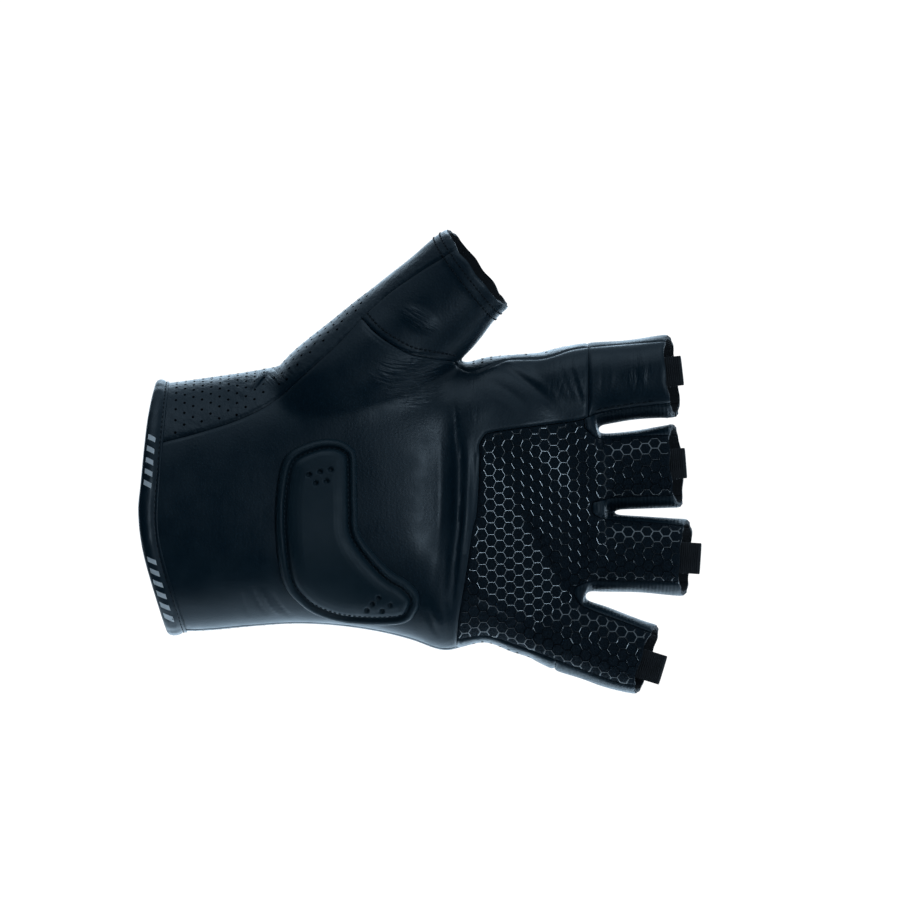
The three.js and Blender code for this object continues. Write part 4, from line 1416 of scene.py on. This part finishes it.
# %% [markdown]
# ## The printed mesh
# The grip fabric carries a raised rubber print of six-sided cells. A print is made on flat cloth, so
# the panel is first pressed flat: every edge of it pushes and pulls until it has its own length
# again. The lattice is drawn on that flat pattern and carried back to the glove, where the fabric
# turns away at the glove's edge and round the fingers, and the cells look narrower from in front.

# %% Press a panel flat
CELL = {"column": 2.86, "row": 3.62, "lean": math.radians(1.2)}
CELL_START = (105.4, 2.8)         # the middle of one cell, as photographed
CELL_COLUMNS, CELL_ROWS = range(-9, 28), range(-24, 16)
LINE_SECTION = [
    (-0.25, -0.06), (-0.20, 0.050), (-0.11, 0.072), (0, 0.080), (0.11, 0.072), (0.20, 0.050),
    (0.25, -0.06),
]
LINE_POINTS = 5
PRINT_MARGIN = 0.55
KEPT_SPEED = 0.93                 # what a corner keeps of its speed in each round


def flattened(places, faces, rounds=300):
    """The flat pattern of a sheet: every edge settles at its own length, as pressed cloth does."""
    a, b = edge_list(faces).T
    length = np.linalg.norm(places[a] - places[b], axis=1)
    count = len(places)
    share = 1 / (np.bincount(a, minlength=count) + np.bincount(b, minlength=count))
    flat = places[:, [0, 2]].copy()
    speed = np.zeros_like(flat)
    for _ in range(rounds):
        gap = flat[b] - flat[a]
        pull = gap * (0.5 - 0.5 * length / np.maximum(np.linalg.norm(gap, axis=1), 1e-6))[:, None]
        for axis in range(2):
            push = np.bincount(a, pull[:, axis], count) - np.bincount(b, pull[:, axis], count)
            speed[:, axis] = KEPT_SPEED * speed[:, axis] + push * share
        flat += speed
    return flat


def corner_weights(spots, a, b, c):
    """How much each corner of its triangle counts at a spot."""
    ab, ac, at = b - a, c - a, spots - a
    whole = ab[:, 0] * ac[:, 1] - ab[:, 1] * ac[:, 0]
    whole = np.where(np.abs(whole) < 1e-12, 1e-12, whole)
    second = (at[:, 0] * ac[:, 1] - at[:, 1] * ac[:, 0]) / whole
    third = (ab[:, 0] * at[:, 1] - ab[:, 1] * at[:, 0]) / whole
    return np.stack([1 - second - third, second, third], 1)


def on_panel(panel, corners, weights):
    """Place, normal and way in at spots of a panel, from the corners of their triangles."""
    carried = np.column_stack([panel["outer"], panel["normal"], panel["inset"]])
    return (weights[..., None] * carried[corners]).sum(1)


def find_on(panel, flat, spots):
    """What the panel is like at spots of its flat pattern, NaN where they miss it."""
    level = np.column_stack([flat, np.zeros(len(flat))])
    tree = BVHTree.FromPolygons(level.tolist(), panel["faces"].tolist())
    numbers = [tree.ray_cast(Vector((x, y, 1)), Vector((0, 0, -1)))[2] for x, y in spots]
    missed = np.array([number is None for number in numbers])
    corners = panel["faces"][[number or 0 for number in numbers]]
    found = on_panel(panel, corners, corner_weights(spots, *(flat[corners[:, k]] for k in range(3))))
    found[missed] = np.nan
    return found


grip = panels["grip_panel"]
grip["inset"] = np.minimum(grip["grip_panel"], grip["mouth"])
grip_flat = flattened(grip["outer"], grip["faces"])
print("stretch of the flat pattern, mm:", np.ptp(grip_flat, axis=0).round(1))

# %% Print the lattice
from_start = np.hypot(grip["outer"][:, 0] - CELL_START[0], grip["outer"][:, 2] - CELL_START[1])
cell_start = grip_flat[np.argmin(from_start)]
side = CELL["column"] / 1.5
half_row = CELL["row"] / 2
ends = []
for column in CELL_COLUMNS:
    for row in CELL_ROWS:
        middle = np.array([column * CELL["column"], row * CELL["row"] + (column % 2) * half_row])
        right, upper = middle + (side, 0), middle + (side / 2, half_row)
        lower, upper_left = middle + (side / 2, -half_row), middle + (-side / 2, half_row)
        ends += [(right, upper), (upper, upper_left), (right, lower)]
ends = np.array(ends)
shares = np.linspace(0, 1, LINE_POINTS)[:, None]
spots = ends[:, :1] * (1 - shares) + ends[:, 1:] * shares
cosine, sine = math.cos(CELL["lean"]), math.sin(CELL["lean"])
spots = spots @ np.array([[cosine, sine], [-sine, cosine]]) + cell_start
found = find_on(grip, grip_flat, spots.reshape(-1, 2)).reshape(len(ends), LINE_POINTS, 7)
print_lines = []
for line in found:
    kept = line[line[:, 6] > PRINT_MARGIN]
    if len(kept) > 1:
        print_lines.append(sweep(section_rings(kept[:, :3], kept[:, 3:6], LINE_SECTION)))
add_parts("grip_mesh_print", print_lines, mesh_print, "grip_fabric", crisp=30)
print("printed lines:", len(print_lines))

# %% [markdown]
# ## Perforations
# The back of the glove is punched with small holes in staggered rows. The holes are not cut: each is
#  a small near-black matte plug in the leather, its colour painted shade for the hole's dark inside,
#  placed where a lattice in the panel's flat pattern falls.

# %% Punched holes
HOLES = {"column": 2.7, "row": 4.0, "radius": 0.42, "sides": 8, "deep": 0.3, "proud": 0.03}
HOLES_MARGIN = {"x": (28.0, 50.0), "margin": (1.6, 4.6)}   # it widens towards the thumb
PLAIN_RIM = {"mouth": 4.0, "cuff": 3.3}   # how far from the openings the leather has no holes
HOLES_END = (66.6, 50.0)          # the thumb's tip is left plain from here on


def staggered_spots(panel, column, row):
    """Where staggered rows in a panel's flat pattern fall on it: place and normal."""
    pattern = panel["pattern"][:, :2]
    corners = panel["faces"]
    a, b, c = (pattern[corners[:, k]] for k in range(3))
    middle = (a + b + c) / 3
    small = np.max([np.abs(b - a), np.abs(c - a)], axis=(0, 2)) < column
    rows = []
    for shift in (0.0, 0.5):
        spots = np.stack([
            (np.round(middle[:, 0] / (2 * column) - shift) + shift) * 2 * column,
            (np.round(middle[:, 1] / row - shift) + shift) * row,
        ], 1)
        weights = corner_weights(spots, a, b, c)
        inside = small & (weights > 0).all(1)
        rows.append(on_panel(panel, corners[inside], weights[inside]))
    return np.concatenate(rows)


back = panels["back_panel"]
from_openings = [back[name] - plain for name, plain in PLAIN_RIM.items()]
back["inset"] = np.min([back["back_panel"], *from_openings], axis=0)
holes = []
hole = circle(HOLES["sides"], HOLES["radius"])
for row in staggered_spots(back, HOLES["column"], HOLES["row"]):
    at_tip = row[0] > HOLES_END[0] and row[2] > HOLES_END[1]
    if row[6] > np.interp(row[0], HOLES_MARGIN["x"], HOLES_MARGIN["margin"]) and not at_tip:
        place, normal = row[:3], unit(row[3:6])
        one_way = unit(np.cross(normal, (0.3, 0.1, 1.0)))
        ring = hole[:, :1] * one_way + hole[:, 1:] * np.cross(normal, one_way)
        ends = (place - HOLES["deep"] * normal + ring, place + HOLES["proud"] * normal + ring)
        holes.append(sweep(ends))
# the plugs carry the painted shade of the holes
add_parts("punched_holes_painted_shade", holes, hole_painted_shade, "perforated_leather", crisp=40)
print("holes:", len(holes))

# %% [markdown]
# ## Stitches
# A lockstitch shows as a row of short beads of thread, each pulled down into the leather at both
# ends. The rows follow the seams at a set distance: one at the base of the thumb, two in its hem, one
# in the slider's groove, one along the binding and one at the index finger's seam.

# %% Rows of stitches
BEAD = [
    # share of the stitch's length, size of the thread's section, height
    (0.0, 0.45, -0.26), (0.12, 0.85, -0.04), (0.35, 1.0, 0.0), (0.65, 1.0, 0.0), (0.88, 0.85, -0.04),
    (1.0, 0.45, -0.26),
]
HEM_ROWS = (2.7, 4.9)             # how far from the thumb's mouth its two rows lie
# how far a row lies from its seam, and between which places along X it runs
THUMB_ROW = {"off": 2.3, "from": 63.0, "to": 92.0}
INDEX_ROW = {"off": 1.5, "from": 135.0, "to": 153.5}
ROW_STEP = 0.8


def stitches(path, normals, length, gap, width=0.42, proud=0.10):
    """A row of stitches along a path of close points, as closed beads of thread."""
    steps = way_along(path)
    shares, sizes, heights = np.array(BEAD).T
    sections = circle(6, width / 2)[None] * sizes[:, None, None]
    beads = []
    for start in np.arange(gap / 2, steps[-1] - length, length + gap):
        at = start + shares * length
        spine = np.stack([np.interp(at, steps, path[:, k]) for k in range(3)], 1)
        upward = unit(np.stack([np.interp(at, steps, normals[:, k]) for k in range(3)], 1))
        spine = spine + upward * (proud + heights)[:, None]
        beads.append(sweep(section_rings(spine, upward, sections)))
    return beads


def leftwards(forward):
    """The directions to the left of some others, as seen from in front."""
    forward = unit(forward)
    return np.stack([-forward[:, 1], forward[:, 0]], 1)


def part_of(run, row):
    """The part of a run between the places along X where a row starts and ends."""
    return run[(run[:, 0] >= row["from"]) & (run[:, 0] <= row["to"])]


print("stitch tools ready")

# %% Stitches beside the seams
run = smooth_run(SEAMS["thumb_base"], ROW_STEP)
run = part_of(run + THUMB_ROW["off"] * leftwards(np.gradient(run, axis=0)), THUMB_ROW)
seam_beads = stitches(*lay_on(skin, *run.T), length=1.0, gap=0.5, width=0.62)
run = part_of(smooth_run(SEAMS["index_lower"], ROW_STEP)[::-1], INDEX_ROW) + (0.0, INDEX_ROW["off"])
seam_beads += stitches(*lay_on(skin, *run.T), length=1.3, gap=0.7)
add_parts("seam_stitches", seam_beads, thread, "smooth_leather")

# %% Stitches in the thumb's hem and in the slider's groove
thumb = LIMBS["thumb"]
hem_beads = []
for back_from_mouth in HEM_ROWS:
    at = thumb["mouth"][0] - back_from_mouth * thumb["along"][0]
    ring = limb_rings(thumb, [at], LIMB_TURNS, HEM["rise"])[0]
    middle_y = read(thumb["table"], ["y"], np.array([at]))[0]
    ring = closed(ring + (thumb["slant"] * (ring[:, 1] - middle_y))[:, None] * thumb["along"])
    outward = ring - ring[:-1].mean(0)
    outward -= (outward @ thumb["along"])[:, None] * thumb["along"]
    ring = lay_along(skin, ring, unit(outward), 4.0)
    hem_beads += stitches(ring, outward, length=0.95, gap=0.5, width=0.58, proud=0.04)
add_parts("thumb_hem_stitches", hem_beads, thread, "smooth_leather")

inward = leftwards(np.roll(slider_loop, -1, axis=0) - np.roll(slider_loop, 1, axis=0))
if outline_distance(slider_loop, *(slider_loop[:1] + inward[:1]).T)[0][0] < 0:
    inward = -inward
_, ways = lay_on(glove_form, *slider_loop.T)
for _ in range(SLIDER_RELAX["normals"]):
    ways = (np.roll(ways, 1, axis=0) + ways + np.roll(ways, -1, axis=0)) / 3
lean = inward[:, 0] * ways[:, 0] + inward[:, 1] * ways[:, 2]
groove = closed(slider_loop + inward * (GROOVE * level_share(lean))[:, None])
groove_beads = stitches(*lay_on(slider_form, *groove.T), length=0.9, gap=0.65, proud=0.03)
add_parts("slider_stitches", groove_beads, thread, "slider_rubber")

# %% [markdown]
# ## The binding at the wrist
# A strip of thin leather is folded over the raw edge and sewn down, so it puffs between its fold and
# its stitches. Its section is a hairpin, open towards the glove, and it is swept once round the
# wrist. A few plain slanted bars are printed on it on the palm side.

# %% Binding
BINDING_SECTION = [
    # share of the way from the fold to the inner edge, height above the leather
    (1.02, 0.06), (1.03, 0.30), (0.99, 0.48), (0.92, 0.46), (0.86, 0.30), (0.80, 0.46), (0.68, 0.95),
    (0.50, 1.25), (0.30, 1.30), (0.12, 1.08), (0.02, 0.60), (-0.03, -0.15), (-0.04, -0.95),
    (0.0, -1.75), (0.10, -2.30), (0.28, -2.60), (0.60, -2.62), (0.84, -2.30), (0.98, -1.95),
    (1.0, -1.50), (0.24, -1.50), (0.24, 0.06),
]
CROWN = BINDING_SECTION[11:4:-1]  # its puffed top, from the fold inwards
PUFFED_FROM = 0.4                 # heights over this one waver round the wrist
PUFFS = [(0.05, 23, 0), (0.04, 41, 1)]   # height, number round the wrist, start
STITCH_LINE = 0.86                # how far across it the stitches lie
BINDING_TURNS = full_turn(320)


def broad_point(x, turn, grow):
    """Points of the broad tube, one for each place, turn and height."""
    return np.array([broad_rings([p], np.array([t]), g)[0, 0] for p, t, g in zip(x, turn, grow)])


def binding_point(turns, share, height):
    """Points on the binding: turn round the wrist, share across it, height above the leather."""
    turns = np.atleast_1d(turns)
    share = np.broadcast_to(share, turns.shape)
    height = np.broadcast_to(height, turns.shape)
    z = broad_point(np.zeros(len(turns)), turns, np.zeros(len(turns)))[:, 2]
    x = cuff_x("cuff_edge", z) * (1 - share) + cuff_x("cuff_stitch", z) * share
    return broad_point(x, turns, height)


puff = np.ones(len(BINDING_TURNS))
for high, number, start in PUFFS:
    puff += high * np.sin(number * BINDING_TURNS + start)
rings = [
    binding_point(BINDING_TURNS, share, np.where(height > PUFFED_FROM, height * puff, height))
    for share, height in BINDING_SECTION
]
hairpin = sweep(np.array(rings).transpose(1, 0, 2), endless=True)
add_parts(
    "cuff_binding_folded", [hairpin], binding_leather, "binding_leather", ["cuff_binding"], 70
)
low, row, high = (binding_point(BINDING_TURNS, STITCH_LINE, height) for height in (0.3, 0.36, 1.3))
beads = stitches(closed(row), closed(high - low), length=1.0, gap=0.7, width=0.34, proud=0.02)
add_parts("binding_stitches", beads, thread, "binding_leather")

# %% Plain bars printed on the binding
BAR_RUNS = [(22.0, 5.2), (-14.5, -31.8)]   # from and to, as heights on the palm side
BAR = {"pitch": 3.4, "width": 1.5, "slant": 1.3, "thick": 0.05}
BAR.update({"from": 0.16, "middle": 0.4, "to": 0.60})   # shares of the way from fold to inner edge
BAR_POINTS = 6
BAR_LIFT = 1.02                   # the bars lie a little over the crown

palm_turns = np.linspace(np.pi, 2 * np.pi, 400)
palm_heights = binding_point(palm_turns, BAR["middle"], 0.0)[:, 2]


def bar_rings(start):
    """One bar from the fold inwards, laid on the crown and slanted."""
    shares = np.linspace(BAR["from"], BAR["to"], BAR_POINTS)
    for share, slip in zip(shares, BAR["slant"] * np.linspace(0, 1, BAR_POINTS)):
        turns = np.interp([start - slip, start - slip - BAR["width"]], palm_heights, palm_turns)
        height = np.interp(share, *np.array(CROWN).T) * BAR_LIFT
        height = height * np.interp(turns, BINDING_TURNS, puff)
        low_side = binding_point(turns, share, height - BAR["thick"])
        high_side = binding_point(turns, share, height + BAR["thick"])
        yield [low_side[0], high_side[0], high_side[1], low_side[1]]


starts = [start for top, bottom in BAR_RUNS for start in np.arange(top, bottom, -BAR["pitch"])]
bars = [sweep(list(bar_rings(start))) for start in starts]
add_parts("binding_bars", bars, white_print, "binding_leather", crisp=30)

# %% [markdown]
# ## Pull tabs
# Each finger has a short loop of ribbed ribbon at its mouth, to pull the glove off by. The ribbon is a
# rounded strip carried along a hairpin path, and its thickness rises and falls for the ribs.

# %% Ribbon loops
TABS = [
    # finger, x and z of the ribbon's root, its width, how far it reaches out
    ("index", 155.8, 41.6, 9.2, 6.0),
    ("middle", 156.9, 13.2, 9.4, 6.0),
    ("ring", 160.8, -15.5, 9.6, 6.6),
    ("little", 149.7, -48.6, 9.2, 6.4),
]
RIBBON = {"thick": 0.8, "slit": 0.35, "root": 5.0, "rib": 0.62, "rib_height": 0.09, "square": 7.0}
TAB_SEAT = 0.6                    # from the finger's inner wall to the ribbon


def turned(points, angle, lean):
    """Points turned by lean about Z and then by angle about Y."""
    cosine, sine = math.cos(lean), math.sin(lean)
    x = cosine * points[..., 0] - sine * points[..., 1]
    y = sine * points[..., 0] + cosine * points[..., 1]
    cosine, sine = math.cos(angle), math.sin(angle)
    return np.stack([cosine * x + sine * points[..., 2], y, -sine * x + cosine * points[..., 2]], -1)


def ribbon_loop(width, reach):
    """A folded ribbon along X, its front ply at Y 0."""
    thick, slit = RIBBON["thick"], RIBBON["slit"]
    radius = (thick + slit) / 2
    nose = reach - radius - thick / 2
    straight = np.arange(-RIBBON["root"], nose, RIBBON["rib"] / 4)
    bend = np.linspace(-np.pi / 2, np.pi / 2, 14)
    front_y, back_y = thick / 2, thick / 2 + 2 * radius
    path = np.concatenate([
        np.stack([straight, 0 * straight + front_y], 1),
        np.stack([nose + radius * np.cos(bend), front_y + radius + radius * np.sin(bend)], 1),
        np.stack([straight[::-1], 0 * straight + back_y], 1),
    ])
    forward = unit(np.gradient(path, axis=0))
    side = np.stack([forward[:, 1], -forward[:, 0]], 1)
    rib = RIBBON["rib_height"] * np.cos(2 * np.pi * way_along(path) / RIBBON["rib"])
    across, over = oval(full_turn(24), RIBBON["square"])
    rings = []
    for (x, y), (side_x, side_y), ridge in zip(path, side, rib):
        lift = over * (thick / 2 - RIBBON["rib_height"] + ridge)
        rings.append(np.stack([x + side_x * lift, y + side_y * lift, across * width / 2], 1))
    return np.array(rings)


for finger, tab_x, tab_z, width, reach in TABS:
    form = LIMBS[finger]
    square, angle = form["square"], math.radians(form["angle"])
    x, y, z, half, palm, _ = form["rows"][-1]
    before = form["rows"][-2]
    lean = math.atan2((y - palm) - (before[1] - before[4]), x - before[0])
    off_axis = (x - tab_x) * math.sin(angle) + (tab_z - z) * math.cos(angle)
    share = (abs(off_axis) + width / 2) / (half - WALL)
    front = y - (palm - WALL) * (1 - share**square) ** (1 / square)
    rings = turned(ribbon_loop(width, reach), -angle, lean) + (tab_x, front + TAB_SEAT, tab_z)
    node = f"pull_tab_{finger}"
    add_parts(node + "_ribbon", [sweep(rings)], ribbon, "ribbon", [node], 60)

# %% [markdown]
# ## Light
# The photograph is a high key one: white all round and behind, dark in front, so that black leather
# gets bright rims and a soft sheen. The sky is bright behind and beside the glove and dim in front. A
# large lamp above and a small one at the right add the highlights on the palm, and two lamps behind
# the glove brighten its rims and the floor.

# %% Sky
TINT = (0.62, 0.82, 1.0)          # the cool light that black leather shows in the photograph
SKY = [
    # middle of a bright part of the sky, cosines where it starts and is full, strength
    ((0.2, 1.0, -0.25), 0.15, 0.95, 3.8),
    ((0.95, -0.30, 0.0), 0.60, 0.98, 0.25),
    ((0.0, -0.05, 1.0), 0.40, 0.98, 0.50),
]
SKY_IN_FRONT = 0.016
SEEN_WHITE = 1.1                  # the sky as the camera itself sees it

world = bpy.data.worlds.new("studio")
bpy.context.scene.world = world
world.use_nodes = True
sky = Nodes(world.node_tree)
background = sky.tree.nodes["Background"]
background.inputs["Color"].default_value = (*TINT, 1)
direction = sky.node("ShaderNodeTexCoord").outputs["Generated"]
strength = SKY_IN_FRONT
for middle, start, full, amount in SKY:
    inputs = {0: direction, 1: Vector(middle).normalized()}
    towards = sky.node("ShaderNodeVectorMath", inputs, operation="DOT_PRODUCT").outputs["Value"]
    strength = sky.maths("ADD", sky.spread(towards, start, full, 0.0, amount), strength)
sky.tree.links.new(strength, background.inputs["Strength"])
white = sky.node("ShaderNodeBackground", {"Color": (1, 1, 1, 1), "Strength": SEEN_WHITE})
to_camera = sky.node("ShaderNodeLightPath").outputs["Is Camera Ray"]
either = sky.node(
    "ShaderNodeMixShader", {0: to_camera, 1: background.outputs[0], 2: white.outputs[0]}
)
sky.tree.links.new(either.outputs[0], sky.tree.nodes["World Output"].inputs["Surface"])
print("bright parts of the sky:", len(SKY))

# %% Lamps and floor
GLOVE = (0.085, 0.0, 0.012)       # the middle of the glove, in metres
LAMPS = [
    # name, place and what it points at, in metres, then size and watts
    ("soft box above", (0.085, -0.84, 1.13), GLOVE, 1.15, 2.4),
    ("soft box at the right", (0.70, -1.257, 0.040), GLOVE, 0.27, 2.5),
    ("back light", (0.085, 0.91, 0.79), GLOVE, 0.60, 3.0),
    ("floor light", (0.085, 0.38, -0.10), (0.085, 0.38, -0.25), 0.60, 4.0),
]
for name, place, target, size, watts in LAMPS:
    lamp = bpy.data.lights.new(name, "AREA")
    lamp.shape = "DISK"
    lamp.size = size
    lamp.energy = watts
    lamp.color = TINT
    holder = placed(name, lamp)
    holder.location = place
    holder.rotation_euler = (Vector(target) - Vector(place)).to_track_quat("-Z", "Y").to_euler()

FLOOR = {"drop": 0.19, "front": -0.12, "reach": 1.5}   # in metres
side, front, far = FLOOR["reach"], FLOOR["front"], FLOOR["reach"]
floor_z = cad_box[0].z - FLOOR["drop"]
corners = [(x, y, floor_z) for x, y in ((-side, front), (side, front), (side, far), (-side, far))]
floor_mesh = bpy.data.meshes.new("floor")
floor_mesh.from_pydata(corners, [], [(0, 1, 2, 3)])
floor_finish = Finish("pale floor", (0.86, 0.86, 0.86), 0.7)
floor_finish.raise_by(floor_finish.noise(floor_finish.millimetres(), 0.05), 0.5, 0.2)
floor_mesh.materials.append(floor_finish.material)
floor = placed("floor", floor_mesh)
floor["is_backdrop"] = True
print("lamps:", len(LAMPS))

# %% [markdown]
# ## Size
# Both boxes are printed: the box of the glove that is seen and the box of its solids. The
# glove that is seen has to stay the size of its solids.

# %% Both boxes
dressed_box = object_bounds()
boxes = {"cad": cad_box, "dressed": dressed_box}
sizes = {name: [list(corner) for corner in box] for name, box in boxes.items()}
for name, box in sizes.items():
    print(name, [round(1000 * (high - low), 1) for low, high in zip(*box)])
